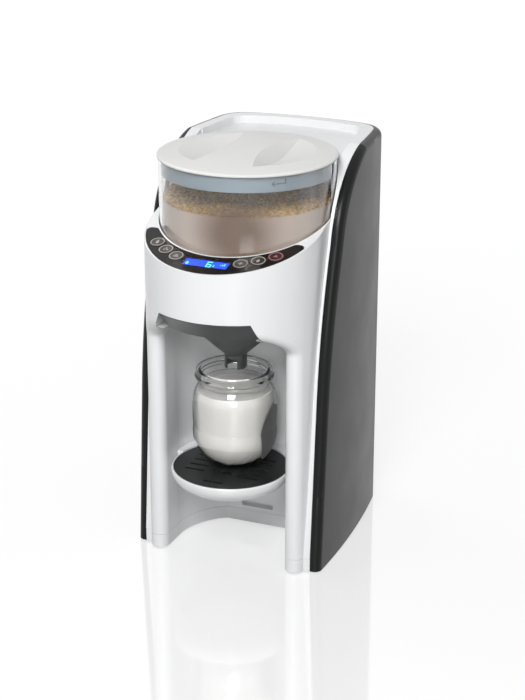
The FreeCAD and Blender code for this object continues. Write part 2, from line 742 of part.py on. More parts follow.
def button_cutter(label, kind, side, extra, low, high):
    """A cylinder square to the tilted top, at a button's place."""
    tool = doc.addObject("Part::Cylinder", label)
    bind(tool, "Radius", "button_radius+(%s)" % extra)
    bind(tool, "Height", "(%s)-(%s)" % (high, low))
    turn_by = tilt_turn()
    base = button_place(kind, side) + turn_by.multVec(Vector(0, 0, value_of(low)))
    tool.Placement = FreeCAD.Placement(base, turn_by)
    return tool


def joined(label, parts):
    """Several tools as one."""
    result = doc.addObject("Part::MultiFuse", label)
    result.Shapes = parts
    doc.recompute()
    return result


def front_shell():
    """Round head, legs, bay and top of the white housing in one moulding."""
    outer = soften("shell_soft", shell_form("shell_outer", "0"), "plinth_top+gap", "leg_round")
    holes = new_body("shell_holes")
    block(holes, box_corners("-notch_half", "notch_half", "-half_depth-10", "notch_rear_y"),
          "bay_top-10", "notch_top")
    flare = new_body("shell_notch_flare")
    sketch = sketch_on(flare, "XZ_Plane", along="-notch_flare_y")
    draw(sketch, [
        corner("-notch_flare", "bay_top-1"), corner("notch_flare", "bay_top-1"),
        corner("notch_half", "notch_top"), corner("-notch_half", "notch_top")])
    pad(flare, sketch, "half_depth")
    floor = new_body("shell_well_opening")
    block(floor, ("0", "well_y", "well_radius"), "well_floor-14", "well_floor+20")
    recess = new_body("shell_panel_recess")
    block(recess, crescent("-gap/2", "panel_end_y+gap/2"), "well_floor", "rim_top")
    tilted_layer(recess, "panel_proud-panel_depth", "8")
    window = new_body("shell_board_opening")
    block(window, crescent("2.2", "panel_end_y-8"), "well_floor", "rim_top")
    tilted_layer(window, "-12", "4")
    tools = [holes, flare, floor, recess, window]
    for i, (kind, side) in enumerate(BUTTONS):
        tools.append(button_cutter("shell_button_%d" % (i + 1), kind, side, "button_gap",
                                   "-12", "4"))
    opened = boolean("Cut", "shell_opened", outer, joined("shell_tools", tools))
    hollow_form = shell_form("shell_hollow", "shell_wall")
    front = new_body("shell_solid_front")
    block(front, box_corners("-2*core_half", "2*core_half", "-half_depth-20",
                             "solid_rear_y"), "-20", "notch_top+shell_wall")
    hollow = boolean("Cut", "shell_inside", hollow_form, front)
    walls = boolean("Cut", "shell_walls", opened, hollow)
    return keep(boolean("Cut", "front_shell", walls,
                        lining_form("shell_lining", "shell_wall+gap/2")))


def well_plate():
    """Floor of the well, let into the shell, with the holes for the drive and the powder."""
    plate = new_body("well_plate")
    low = "well_floor-shell_wall"
    block(plate, ("0", "well_y", "well_radius-gap"), low, "well_floor")
    block(plate, ("0", "well_y", "drive_hole"), low + "-1", "well_floor+1", cut=True)
    block(plate, ("0", "well_y-outlet_reach", "outlet_radius"), low + "-1", "well_floor+1",
          cut=True)
    return keep(plate)


def bay_liner():
    """Lining of the bay behind the legs: curved walls and ceiling, open for the slot plate."""
    room = bay_form("liner_room", "0")
    window = new_body("liner_window")
    block(window, box_corners("-plate_half-gap", "plate_half+gap", "bay_back_y-5",
                              "bay_back_y+20"), "-5", "bay_top-arch_radius+gap")
    notch = new_body("liner_notch")
    block(notch, box_corners("-notch_half", "notch_half", "-half_depth", "notch_rear_y"),
          "bay_top-arch_radius", "notch_top")
    foot = new_body("liner_foot_cut")
    block(foot, box_corners("-" + SIDE_HALF, SIDE_HALF, "-half_depth", "half_depth"),
          "-30", "plinth_top+gap")
    front = new_body("liner_front_cut")
    block(front, box_corners("-" + SIDE_HALF, SIDE_HALF, "-half_depth", "liner_front_y+gap"),
          "-30", "bay_top+30")
    tools = joined("liner_tools", [room, window, notch, foot, front])
    return keep(boolean("Cut", "bay_liner", lining_form("liner_outer", "shell_wall"), tools))


def slot_plate():
    """Rear wall of the bay with three blind slots that hold the tray at different heights."""
    plate = new_body("slot_plate")
    block(plate, box_corners("-plate_half", "plate_half", "bay_back_y",
                             "bay_back_y+shell_wall"), "plinth_top+gap", "bay_top-arch_radius")
    middles = ["slot_low_z+%d*slot_step" % level for level in range(3)]
    for middle in middles:
        half = "slot_height/2+slot_wall"
        block(plate, box_corners("-slot_half-slot_wall", "slot_half+slot_wall",
                                 "bay_back_y+shell_wall-0.5", "bay_back_y+slot_deep+slot_wall"),
              "%s-(%s)" % (middle, half), "%s+(%s)" % (middle, half))
    for middle in middles:
        block(plate, box_corners("-slot_half", "slot_half", "bay_back_y-10",
                                 "bay_back_y+slot_deep"),
              middle + "-slot_height/2", middle + "+slot_height/2", cut=True)
    return keep(plate)


def plinth_form(label, inset, low, high):
    """The plan of the plinth: round front, straight sides and the rear wall, less the bay."""
    front = new_body(label + "_front")
    block(front, round_front(inset, "well_y+10"), low, high)
    block(front, box_corners("-core_half+(%s)" % inset, "core_half-(%s)" % inset,
                             "edge_foot_y+0.4+(%s)" % inset, "half_depth"), low, high)
    whole = machine_form(label + "_plan", "panel_wall+gap+(%s)" % inset, high, low,
                         "corner_radius-panel_wall-gap-(%s)" % inset)
    trimmed = boolean("Common", label + "_trimmed", front, whole)
    bay = new_body(label + "_bay")
    block(bay, bay_plan(inset), "-20", "plinth_top+20")
    return boolean("Cut", label, trimmed, bay)


def base_plinth():
    """White tray under the machine, open in front where the bay reaches the table."""
    recesses = []
    for i, (across, along) in enumerate(FEET):
        recess = new_body("plinth_foot_recess_%d" % (i + 1))
        block(recess, (across, along, "foot_radius+gap/2"), "-5", "foot_height+gap/3")
        recesses.append(recess)
    outer = soften("plinth_soft", plinth_form("plinth_outer", "0", "base_height", "plinth_top"),
                   "base_height", "leg_round")
    hollow = plinth_form("plinth_hollow", "shell_wall", "base_height+shell_wall",
                         "plinth_top+10")
    front = new_body("plinth_solid_front")
    block(front, box_corners("-2*core_half", "2*core_half", "-half_depth-20",
                             "solid_rear_y"), "-20", "plinth_top+20")
    inside = boolean("Cut", "plinth_inside", hollow, front)
    tools = joined("plinth_tools", [inside] + recesses)
    return keep(boolean("Cut", "base_plinth", outer, tools))


def side_view_cut(form, inset, bottom):
    """Cut away what lies in front of and above the side view of the dark panels."""
    back = "+(%s)" % inset
    side_block(form, [
        corner("edge_foot_y" + back, bottom),
        corner("edge_low_y" + back, "edge_low_z", bow=("edge_mid_y" + back, "edge_mid_z")),
        corner("edge_high_y" + back, "(rim_top-edge_high_drop)-(%s)" % inset,
               bow=("shoulder_y" + back, "(rim_top-shoulder_drop)-(%s)" % inset)),
        corner("deck_front_y", "rim_top-(%s)" % inset),
        corner("half_depth+20", "rim_top-(%s)" % inset),
        corner("half_depth+20", "rim_top+60"),
        corner("-3*half_depth", "rim_top+60"),
        corner("-3*half_depth", bottom)], "4*(core_half+side_bulge)", cut=True)


def wrap_form():
    """The machine's dark outer form with its rounded top and front edges."""
    form = machine_form("wrap_form", "0", "rim_top+20", "base_height", "corner_radius")
    side_view_cut(form, "0", "base_height-5")
    side = value_of("core_half")
    foot = value_of("base_height")
    top = value_of("rim_top")
    round_edges(form, lambda edge, middle: abs(middle.z - top) < 0.01 and middle.y > 0
                and (abs(middle.x) > side * 0.5 or middle.y > side)
                or middle.z > foot + 1 and middle.y < 40 and abs(middle.x) > side,
                "panel_round")
    return form


def side_panels(form):
    """Dark moulded panels on both sides, hollow behind a skin and a lip."""
    hollow = machine_form("panel_hollow", "panel_wall", "rim_top+20", "-20",
                          "corner_radius-panel_wall")
    side_view_cut(hollow, "panel_wall", "-25")
    core = machine_form("panel_core", "rim_inset-gap", "rim_top+20", "-20",
                        "corner_radius-rim_inset+gap")
    for side in ("-1", "1"):
        block(core, box_corners("%s*(core_half+gap+50)-50" % side,
                                "%s*(core_half+gap+50)+50" % side,
                                "-3*half_depth", "3*half_depth"), "-30", "rim_top+30", cut=True)
    skin = boolean("Cut", "panel_skin", form, joined("panel_tools", [hollow, core]))
    for name, side in (("left_side_panel", -1), ("right_side_panel", 1)):
        half = new_body(name + "_half")
        edges = ["%d*panel_rear_x" % side, "%d*2*(core_half+side_bulge)" % side]
        if side < 0:
            edges.reverse()
        block(half, box_corners(edges[0], edges[1], "-2*half_depth", "2*half_depth"),
              "-10", "rim_top+30")
        keep(boolean("Common", name, skin, half))


def rear_cover(form):
    """Dark cover of the lower rear, with cooling slots and the opening for the mains inlet."""
    zone = new_body("rear_zone")
    block(zone, box_corners("-panel_rear_x+gap", "panel_rear_x-gap", "corner_radius",
                            "half_depth+10"), "-5", "tank_bottom-gap")
    solid = boolean("Common", "rear_solid", form, zone)
    inner = machine_form("rear_inner", "panel_wall", "tank_bottom-gap-panel_wall",
                         "base_height-5", "corner_radius-panel_wall")
    front = new_body("rear_front_cut")
    block(front, box_corners("-2*(core_half+side_bulge)", "2*(core_half+side_bulge)", "-half_depth",
                             "half_depth-cover_lip"), "-10", "rim_top")
    openings = [inner, front]
    for i in range(int(value_of("vent_count"))):
        vent = new_body("rear_vent_%d" % (i + 1))
        middle = "%s+%d*vent_pitch" % ("tank_bottom-64", i)
        block(vent, box_corners("-vent_half", "vent_half", "half_depth-20", "half_depth+10"),
              middle, middle + "+vent_pitch*0.4")
        openings.append(vent)
    inlet = new_body("rear_inlet_opening")
    block(inlet, box_corners("-inlet_half", "inlet_half", "half_depth-20", "half_depth+10"),
          "inlet_z-inlet_tall/2", "inlet_z+inlet_tall/2")
    openings.append(inlet)
    return keep(boolean("Cut", "rear_cover", solid, joined("rear_tools", openings)))


def water_tank(form):
    """Smoked tank whose rear wall closes the machine between the side panels."""
    zone = new_body("tank_zone")
    block(zone, box_corners("-tank_half", "tank_half", "tank_front_y", "half_depth+10"),
          "tank_bottom", "rim_top+10")
    solid = boolean("Common", "tank_solid", form, zone)
    plan = machine_form("tank_hollow_plan", "tank_wall", "rim_top+20",
                        "tank_bottom+tank_wall", "corner_radius-tank_wall")
    inside = new_body("tank_hollow_box")
    block(inside, box_corners("-tank_half+tank_wall", "tank_half-tank_wall",
                              "tank_front_y+tank_wall", "half_depth+10"),
          "-5", "(rim_top-deck_depth)-lid_plate-3")
    hollow = boolean("Common", "tank_hollow", plan, inside)
    mouth_plan = machine_form("tank_mouth_plan", "rim_inset-gap", "rim_top+20",
                              "(rim_top-deck_depth)-lid_plate-gap", "corner_radius-rim_inset+gap")
    neck_box = new_body("tank_neck_box")
    block(neck_box, box_corners("-tank_half+tank_wall", "tank_half-tank_wall",
                                "tank_front_y+tank_wall", "half_depth+10"),
          "(rim_top-deck_depth)-lid_plate-8", "rim_top+10")
    neck = boolean("Common", "tank_neck", machine_form(
        "tank_neck_plan", "rim_inset+1", "rim_top+20", "(rim_top-deck_depth)-lid_plate-8",
        "corner_radius-rim_inset-1"), neck_box)
    valve = new_body("tank_valve_hole")
    block(valve, ("0", "valve_y", "valve_radius"), "tank_bottom-5", "tank_bottom+10")
    return keep(boolean("Cut", "tank_shell", solid, joined(
        "tank_tools", [hollow, mouth_plan, neck, valve])))


def tank_lid():
    """White lid of the tank: the rear deck with its raised rim."""
    def plan(label, inset, low, high):
        """The deck's plan behind the well, drawn in by an inset."""
        whole = machine_form(label + "_plan", "rim_inset+(%s)" % inset, high, low,
                             "corner_radius-rim_inset-(%s)" % inset)
        zone = new_body(label + "_zone")
        front = "deck_front_y+gap" if inset == "0" else "deck_front_y-20"
        block(zone, box_corners("-core_half+(%s)" % inset, "core_half-(%s)" % inset,
                                front, "half_depth+10"), low, high)
        return boolean("Common", label, whole, zone)

    outer = plan("deck_outer", "0", "(rim_top-deck_depth)-lid_plate", "rim_top")
    dish = plan("deck_dish", "rim_width", "(rim_top-deck_depth)", "rim_top+10")
    well = new_body("deck_well")
    block(well, ("0", "well_y", "lid_radius+1.2"), "well_floor", "rim_top+20")
    groove = boolean("Cut", "deck_groove",
                     plan("deck_groove_outer", "lid_plate", "(rim_top-deck_depth)-lid_plate-5",
                          "rim_top-lid_plate"),
                     plan("deck_groove_inner", "rim_width-lid_plate", "(rim_top-deck_depth)-lid_plate-6",
                          "rim_top"))
    front_web = new_body("deck_front_web")
    block(front_web, box_corners("-" + SIDE_HALF, SIDE_HALF, "deck_front_y-30",
                                 "deck_front_y+gap+lid_plate"), "well_floor", "rim_top+20")
    groove = boolean("Cut", "deck_rim_hollow", groove, front_web)
    return keep(boolean("Cut", "tank_lid", outer, joined("deck_tools", [dish, well, groove])))


# ------------------------------------------------------------------------------------------
# Control panel, display and buttons
# ------------------------------------------------------------------------------------------
def window_plan(grow):
    """Plan of the display window, larger by a margin."""
    half_x = "display_width/2+(%s)" % grow
    half_y = "display_depth/2+(%s)" % grow
    return box_corners("-(%s)" % half_x, half_x, "display_y-(%s)" % half_y,
                       "display_y+(%s)" % half_y)


def control_panel():
    """Dark crescent with a seat for the window and holes for the buttons."""
    plate = new_body("panel_plate")
    block(plate, crescent("gap/2", "panel_end_y-gap/2"), "well_floor", "rim_top")
    tilted_layer(plate, "panel_proud-panel_depth+0.05", "panel_proud")
    ends = value_of("panel_end_y-gap/2")
    round_edges(plate, lambda edge, middle: abs(middle.y - ends) < 0.5
                and edge.Length < 3 and abs(middle.x) > 60, "panel_end_round")
    seat = new_body("panel_window_seat")
    block(seat, window_plan("0.15"), "well_floor", "rim_top")
    tilted_layer(seat, "panel_proud-display_thick-0.1", "8")
    sight = new_body("panel_window_sight")
    block(sight, window_plan("-1.2"), "well_floor", "rim_top")
    tilted_layer(sight, "-8", "8")
    tools = [seat, sight]
    for i, (kind, side) in enumerate(BUTTONS):
        tools.append(button_cutter("panel_hole_%d" % (i + 1), kind, side, "button_gap",
                                   "-8", "8"))
    return keep(boolean("Cut", "control_panel", plate, joined("panel_holes", tools)))


def display_window():
    """Clear window that lies flush in the control panel."""
    window = new_body("display_window")
    block(window, window_plan("0"), "well_floor", "rim_top")
    tilted_layer(window, "panel_proud-display_thick", "panel_proud")
    return keep(window)


def display_module():
    """Liquid crystal module under the window."""
    module = new_body("display_module")
    block(module, window_plan("-1.6"), "well_floor", "rim_top")
    tilted_layer(module, "panel_proud-board_drop+0.1", "panel_proud-display_thick-0.3")
    return keep(module)


def control_board():
    """Circuit board that the display and the button switches stand on."""
    board = new_body("control_board")
    block(board, crescent("4.2", "panel_end_y-12"), "well_floor", "rim_top")
    tilted_layer(board, "panel_proud-board_drop-board_thick", "panel_proud-board_drop")
    return keep(board)


def buttons():
    """Six push buttons, square to the tilted top."""
    high = "panel_proud+button_proud"
    for i, (kind, side) in enumerate(BUTTONS):
        name = "button_%d" % (i + 1)
        cap = button_cutter(name + "_cap", kind, side, "0", high + "-button_depth", high)
        rounded = doc.addObject("Part::Fillet", name)
        rounded.Base = cap
        doc.recompute()
        top = max(range(3), key=lambda k: cap.Shape.Edges[k].CenterOfMass.z)
        rounded.Edges = [(top + 1, value_of("button_proud") * 0.8, value_of("button_proud") * 0.8)]
        doc.recompute()
        keep(rounded, name)


# ------------------------------------------------------------------------------------------
# Powder container: clear tub, base, portion wheel, agitator, powder, collar and lid
# ------------------------------------------------------------------------------------------
CONTAINER = ("0", "well_y")


def dome(reach, low, rise):
    """A place half way out on a shallow dome that is level at its middle."""
    radius = "(((%s)^2+(%s)^2)/(2*(%s)))" % (reach, rise, rise)
    drop = "(%s-sqrt(%s^2-(%s)^2/4))" % (radius, radius, reach)
    return "0.5*(%s)" % reach, "%s+(%s)-%s" % (low, rise, drop)


def container_tub():
    """Clear round tub with a floor that lets powder through to the portion wheel."""
    tub = new_body("container_tub")
    turn(tub, [
        corner("0", "tub_floor-tub_floor_thick"),
        corner("tub_radius-0.6", "tub_floor-tub_floor_thick", "3"),
        corner("tub_radius", "tub_top"),
        corner("tub_radius-tub_wall", "tub_top"),
        corner("tub_radius-tub_wall-0.6", "tub_floor", "4"),
        corner("0", "tub_floor")], *CONTAINER)
    block(tub, ("0", "well_y", "spindle_radius+running_gap"), "tub_floor-10", "tub_floor+10",
          cut=True)
    block(tub, ("0", "well_y+outlet_reach", "outlet_radius"), "tub_floor-10", "tub_floor+10",
          cut=True)
    return keep(tub)


def container_base():
    """White cup under the tub that houses the portion wheel and has the powder outlet."""
    base = new_body("container_base")
    turn(base, [
        corner("0", "base_low"),
        corner("base_radius", "base_low", "2"),
        corner("base_radius", "tub_floor-tub_floor_thick-gap/3"),
        corner("wheel_radius+gap*2", "tub_floor-tub_floor_thick-gap/3"),
        corner("wheel_radius+gap*2", "base_low+base_wall"),
        corner("0", "base_low+base_wall")], *CONTAINER)
    block(base, ("0", "well_y", "drive_hole+1.5"), "base_low-10", "base_low+10", cut=True)
    block(base, ("0", "well_y-outlet_reach", "pocket_radius+1"), "base_low-10",
          "base_low+10", cut=True)
    return keep(base)


def portion_wheel():
    """Disc with portion pockets and the socket that the drive dog enters from below."""
    wheel = new_body("portion_wheel")
    turn(wheel, [
        corner("0", "wheel_low"), corner("wheel_radius", "wheel_low"),
        corner("wheel_radius", "wheel_top"), corner("0", "wheel_top")], *CONTAINER)
    half = "(dog_width/2+dog_play)"
    block(wheel, box_corners("-" + half, half, "well_y-" + half, "well_y+" + half),
          "wheel_low-5", "dog_top+dog_play", cut=True)
    block(wheel, ("0", "well_y", "spindle_radius"), "dog_top+dog_play", "wheel_top+5", cut=True)
    hole = block(wheel, ("0", "well_y-outlet_reach", "pocket_radius"), "wheel_low-5",
                 "wheel_top+5", cut=True)
    centre = wheel.newObject("PartDesign::Line", "wheel_axis")
    centre.AttachmentSupport = [(origin_plane(wheel, "XY_Plane"), "")]
    centre.MapMode = "ObjectZ"
    bind(centre, "AttachmentOffset.Base.y", "well_y")
    ring = wheel.newObject("PartDesign::PolarPattern", "pockets")
    ring.Originals = [hole]
    ring.Axis = (centre, [""])
    ring.Angle = 360
    bind(ring, "Occurrences", "wheel_pockets")
    wheel.Tip = ring
    return keep(wheel)


def agitator():
    """Stirrer on the portion wheel's spindle: a hub with two swept arms."""
    stirrer = new_body("agitator")
    turn(stirrer, [
        corner("0", "dog_top+dog_play+gap/2"),
        corner("spindle_radius", "dog_top+dog_play+gap/2"),
        corner("spindle_radius", "arm_low"),
        corner("hub_radius", "arm_low"),
        corner("hub_radius", "hub_top", "2"),
        corner("0", "hub_top")], *CONTAINER)
    block(stirrer, box_corners("-arm_reach", "arm_reach", "well_y-arm_width/2",
                               "well_y+arm_width/2", "2.9"), "arm_low", "arm_top")
    return keep(stirrer)


def powder():
    """Formula powder heaped in the container above the agitator."""
    heap = new_body("powder")
    wall = "tub_radius-tub_wall-0.6-gap"
    turn(heap, [
        corner("0", "powder_low"),
        corner(wall, "powder_low"),
        corner(wall, "powder_top", bow=dome(wall, "powder_top", "powder_heap")),
        corner("0", "powder_top+powder_heap")], *CONTAINER)
    return keep(heap)


def lid_collar():
    """Frosted collar that turns inside the tub's mouth to lock the lid."""
    collar = new_body("lid_collar")
    outer = "tub_radius-tub_wall-gap-0.1"
    turn(collar, [
        corner(outer + "-collar_wall", "collar_low"),
        corner(outer, "collar_low", "0.8"),
        corner(outer, "lid_low_z-gap"),
        corner(outer + "-collar_wall", "lid_low_z-gap")], *CONTAINER)
    return keep(collar)


def recess_form(label, side, inset):
    """One finger recess of the lid, grown by a wall: deepest at the bar, gone at its two tips.

    Its floor is a cone about the lid's axis that rises outwards to the crown.  Its inner wall is
    a steep cone about an axis far out to the side.
    """
    low = "lid_edge_z+lid_crown*0.7-recess_depth"
    rise = "((lid_crown*0.44+recess_depth-lid_crown*0.7)/(recess_radius-recess_chord))"
    inner, outer = "recess_chord*0.5", "recess_radius+(%s)*2" % inset

    def floor(radius):
        return "%s+(%s-recess_chord)*%s-(%s)" % (low, radius, rise, inset)

    ring = new_body(label + "_ring")
    turn(ring, [
        corner(inner, floor(inner)), corner(outer, floor("(%s)" % outer)),
        corner(outer, "lid_edge_z+20"), corner(inner, "lid_edge_z+20")], *CONTAINER)
    side_wall = new_body(label + "_side")
    wall = "recess_wall_radius+(%s)*0.7" % inset
    reach = "20"
    turn(side_wall, [
        corner("0", "recess_wall_z-" + reach),
        corner("%s-recess_wall_slope*%s" % (wall, reach), "recess_wall_z-" + reach),
        corner("%s+recess_wall_slope*%s" % (wall, reach), "recess_wall_z+" + reach),
        corner("0", "recess_wall_z+" + reach)], "%d*recess_wall_x" % side, "well_y")
    return boolean("Common", label, ring, side_wall)


def container_lid():
    """White crowned lid with a grip bar between two finger recesses."""
    lid = new_body("lid_form")
    skirt = "tub_radius-tub_wall-gap-collar_wall-gap*2"
    turn(lid, [
        corner("0", "lid_low_z"),
        corner("lid_radius-1", "lid_low_z"),
        corner("lid_radius", "lid_low_z+1"),
        corner("lid_radius", "lid_edge_z-0.8"),
        corner("lid_radius-lid_edge_round", "lid_edge_z+lid_edge_rise",
               bow=dome("lid_radius-lid_edge_round", "lid_edge_z+lid_edge_rise",
                        "lid_crown-lid_edge_rise")),
        corner("0", "lid_edge_z+lid_crown")], *CONTAINER)
    turn(lid, [
        corner("0", "collar_low+3"), corner(skirt, "collar_low+3"),
        corner(skirt, "lid_low_z+0.5"), corner("0", "lid_low_z+0.5")], *CONTAINER)
    hollow = new_body("lid_hollow")
    turn(hollow, [
        corner("0", "collar_low-5"), corner(skirt + "-lid_wall", "collar_low-5"),
        corner(skirt + "-lid_wall", "lid_edge_z-lid_wall",
               bow=dome(skirt + "-lid_wall", "lid_edge_z-lid_wall", "lid_crown")),
        corner("0", "lid_edge_z+lid_crown-lid_wall")], *CONTAINER)
    walls = joined("lid_recess_walls", [recess_form("lid_wall_left", -1, "lid_wall"),
                                        recess_form("lid_wall_right", 1, "lid_wall")])
    hollow = boolean("Cut", "lid_inside", hollow, walls)
    tools = joined("lid_tools", [hollow, recess_form("lid_recess_left", -1, "0"),
                                 recess_form("lid_recess_right", 1, "0")])
    return keep(boolean("Cut", "container_lid", lid, tools))


def lid_gasket():
    """Rubber ring under the lid's edge, on top of the collar's inner step."""
    ring = new_body("lid_gasket")
    skirt = "tub_radius-tub_wall-gap-collar_wall-gap*2"
    turn(ring, [
        corner(skirt + "-4", "collar_low+3-gasket_height"),
        corner(skirt + "-0.6", "collar_low+3-gasket_height", "0.8"),
        corner(skirt + "-0.6", "collar_low+3"),
        corner(skirt + "-4", "collar_low+3")], *CONTAINER)
    return keep(ring)


# ------------------------------------------------------------------------------------------
# Drive under the well: gear with its dog, bush, pinion, motor and bracket
# ------------------------------------------------------------------------------------------
IDLER_Y = "(well_y+gear_module*(gear_teeth+idler_teeth)/2+mesh_play)"
MOTOR_Y = "(well_y+gear_module*(gear_teeth+2*idler_teeth+pinion_teeth)/2+2*mesh_play)"


BRACKET_POSTS = [(across, along) for across in ("-bracket_half+6", "bracket_half-6")
                 for along in ("bracket_front_y+38", "bracket_rear_y-6")]


def gear_outline(teeth, module, centre, turned):
    """Outline of a spur gear with straight-sided teeth, as a closed face."""
    pitch = module * teeth / 2
    tip = pitch + 0.9 * module
    root = pitch - 1.15 * module
    step = 2 * math.pi / teeth
    points = []
    for i in range(teeth):
        middle = i * step + turned
        for reach, share in ((root, -0.34), (pitch, -0.235), (tip, -0.13),
                             (tip, 0.13), (pitch, 0.235), (root, 0.34)):
            angle = middle + share * step
            points.append(centre + Vector(reach * math.cos(angle), reach * math.sin(angle), 0))
    points.append(points[0])
    return Part.Face(Part.makePolygon(points))


def gear_body(label, teeth, centre, turned):
    """A toothed blank between the gears' two faces."""
    low, high = value_of("gear_low"), value_of("gear_top")
    face = gear_outline(teeth, value_of("gear_module"), centre + Vector(0, 0, low), turned)
    feature = doc.addObject("Part::Feature", label)
    feature.Shape = face.extrude(Vector(0, 0, high - low))
    return feature


def drive_gear():
    """Gear with the journal that turns in the bush and the square dog on top."""
    centre = Vector(0, value_of("well_y"), 0)
    teeth = gear_body("drive_teeth", int(value_of("gear_teeth")), centre, math.pi / 2)
    hub = new_body("drive_hub")
    turn(hub, [
        corner("0", "bracket_low+bracket_thick+gap"),
        corner("journal_radius+4", "bracket_low+bracket_thick+gap"),
        corner("journal_radius+4", "gear_top"),
        corner("journal_radius", "gear_top"),
        corner("journal_radius", "well_floor+gap"),
        corner("0", "well_floor+gap")], *CONTAINER)
    half = "dog_width/2"
    block(hub, box_corners("-" + half, half, "well_y-" + half, "well_y+" + half),
          "gear_top", "dog_top")
    return keep(joined("drive_gear", [teeth, hub]))


def drive_bush():
    """Brass bush with a flange under the well's floor."""
    bush = new_body("drive_bush")
    floor = "well_floor-shell_wall"
    turn(bush, [
        corner("journal_radius+running_gap", floor + "-bush_flange_thick"),
        corner("bush_flange", floor + "-bush_flange_thick"),
        corner("bush_flange", floor),
        corner("bush_radius", floor),
        corner("bush_radius", "well_floor-0.2"),
        corner("journal_radius+running_gap", "well_floor-0.2")], *CONTAINER)
    return keep(bush)


def idler_gear():
    """Idler between the pinion and the drive gear, on a pin of its own."""
    centre = Vector(0, value_of(IDLER_Y), 0)
    step = 2 * math.pi / value_of("idler_teeth")
    teeth = gear_body("idler_teeth_form", int(value_of("idler_teeth")), centre,
                      -math.pi / 2 + step / 2)
    bore = new_body("idler_bore")
    block(bore, ("0", IDLER_Y, "idler_pin_radius+running_gap"), "gear_low-5", "gear_top+5")
    keep(boolean("Cut", "idler_gear", teeth, bore))
    pin = new_body("idler_pin")
    turn(pin, [
        corner("0", "bracket_low"),
        corner("idler_pin_radius-0.8", "bracket_low"),
        corner("idler_pin_radius-0.8", "bracket_low+bracket_thick"),
        corner("idler_pin_radius+2", "bracket_low+bracket_thick"),
        corner("idler_pin_radius+2", "gear_low-gap"),
        corner("idler_pin_radius", "gear_low-gap"),
        corner("idler_pin_radius", "gear_top+1"),
        corner("0", "gear_top+1")], "0", IDLER_Y)
    return keep(pin)


def motor_pinion():
    """Pinion pressed on the motor's shaft."""
    centre = Vector(0, value_of(MOTOR_Y), 0)
    teeth = gear_body("pinion_teeth_form", int(value_of("pinion_teeth")), centre,
                      -math.pi / 2)
    bore = new_body("pinion_bore")
    block(bore, ("0", MOTOR_Y, "motor_shaft_radius"), "gear_low-5", "gear_top-1.5")
    return keep(boolean("Cut", "motor_pinion", teeth, bore))


def motor_shaft():
    """Shaft that comes out of the motor's gearhead."""
    shaft = new_body("motor_shaft")
    block(shaft, ("0", MOTOR_Y, "motor_shaft_radius-0.02"), "bracket_low-6", "gear_top-1.8")
    return keep(shaft)


def gear_motor():
    """Round motor with its gearhead, hung under the bracket."""
    motor = new_body("gear_motor")
    turn(motor, [
        corner("0", "bracket_low-motor_length-4"),
        corner("5", "bracket_low-motor_length-4"),
        corner("5", "bracket_low-motor_length"),
        corner("motor_radius", "bracket_low-motor_length", "1.5"),
        corner("motor_radius", "bracket_low-14"),
        corner("motor_radius-1", "bracket_low-14"),
        corner("motor_radius-1", "bracket_low-12"),
        corner("motor_radius", "bracket_low-12"),
        corner("motor_radius", "bracket_low"),
        corner("motor_shaft_radius+0.3", "bracket_low"),
        corner("motor_shaft_radius+0.3", "bracket_low-6.3"),
        corner("0", "bracket_low-6.3")], "0", MOTOR_Y)
    return keep(motor)


def motor_bracket():
    """Steel plate that carries the motor and closes the gears from below."""
    plate = new_body("motor_bracket")
    block(plate, box_corners("-bracket_half", "bracket_half", "bracket_front_y",
                             "bracket_rear_y", "8"), "bracket_low",
          "bracket_low+bracket_thick")
    block(plate, ("0", MOTOR_Y, "motor_shaft_radius+2"), "bracket_low-5", "bracket_low+9",
          cut=True)
    post = "well_floor-shell_wall"
    block(plate, ("0", IDLER_Y, "idler_pin_radius-0.8"), "bracket_low-5", "bracket_low+9",
          cut=True)
    for across, along in BRACKET_POSTS:
        block(plate, (across, along, "post_radius"), "bracket_low+bracket_thick-0.5", post)
    for across, along in BRACKET_POSTS:
        block(plate, (across, along, "screw_radius+0.1"), "bracket_low-5", post + "-2",
              cut=True)
    return keep(plate)


def bracket_screws():
    """Four screws that hold the bracket to the posts under the well."""
    screws = []
    for i, (across, along) in enumerate(BRACKET_POSTS):
        screw = new_body("bracket_screw_%d" % (i + 1))
        turn(screw, [
            corner("0", "bracket_low-screw_head"),
            corner("screw_head_radius-0.5", "bracket_low-screw_head"),
            corner("screw_head_radius", "bracket_low"),
            corner("screw_radius", "bracket_low"),
            corner("screw_radius", "bracket_low+9"),
            corner("0", "bracket_low+9")], across, along)
        screws.append(screw)
    group = doc.addObject("Part::Compound", "bracket_screws")
    group.Links = screws
    doc.recompute()
    return keep(group)


# ------------------------------------------------------------------------------------------
# Funnel drawer and its runners
# ------------------------------------------------------------------------------------------
VISOR_RADIUS = "(front_radius-visor_inset)"


def drawer_plan(run_in, inset, rear_y=None, thick=None):
    """Plan whose front is the round front's arc moved in, and narrower by an inset.

    Its rear is straight, or the same arc moved in further by a thickness.
    """
    side = "(drawer_half-(%s))" % inset
    reach = "sqrt(%s^2-%s^2)" % (VISOR_RADIUS, side)
    middle = "%s+(%s)" % (FRONT_AXIS, run_in)
    front = [
        corner("-" + side, "%s-%s" % (middle, reach), bow=("0", middle + "-" + VISOR_RADIUS)),
        corner(side, "%s-%s" % (middle, reach))]
    if rear_y:
        return front + [corner(side, rear_y), corner("-" + side, rear_y)]
    back = "%s+(%s)" % (middle, thick)
    return front + [
        corner(side, "%s-%s" % (back, reach), bow=("0", back + "-" + VISOR_RADIUS)),
        corner("-" + side, "%s-%s" % (back, reach))]


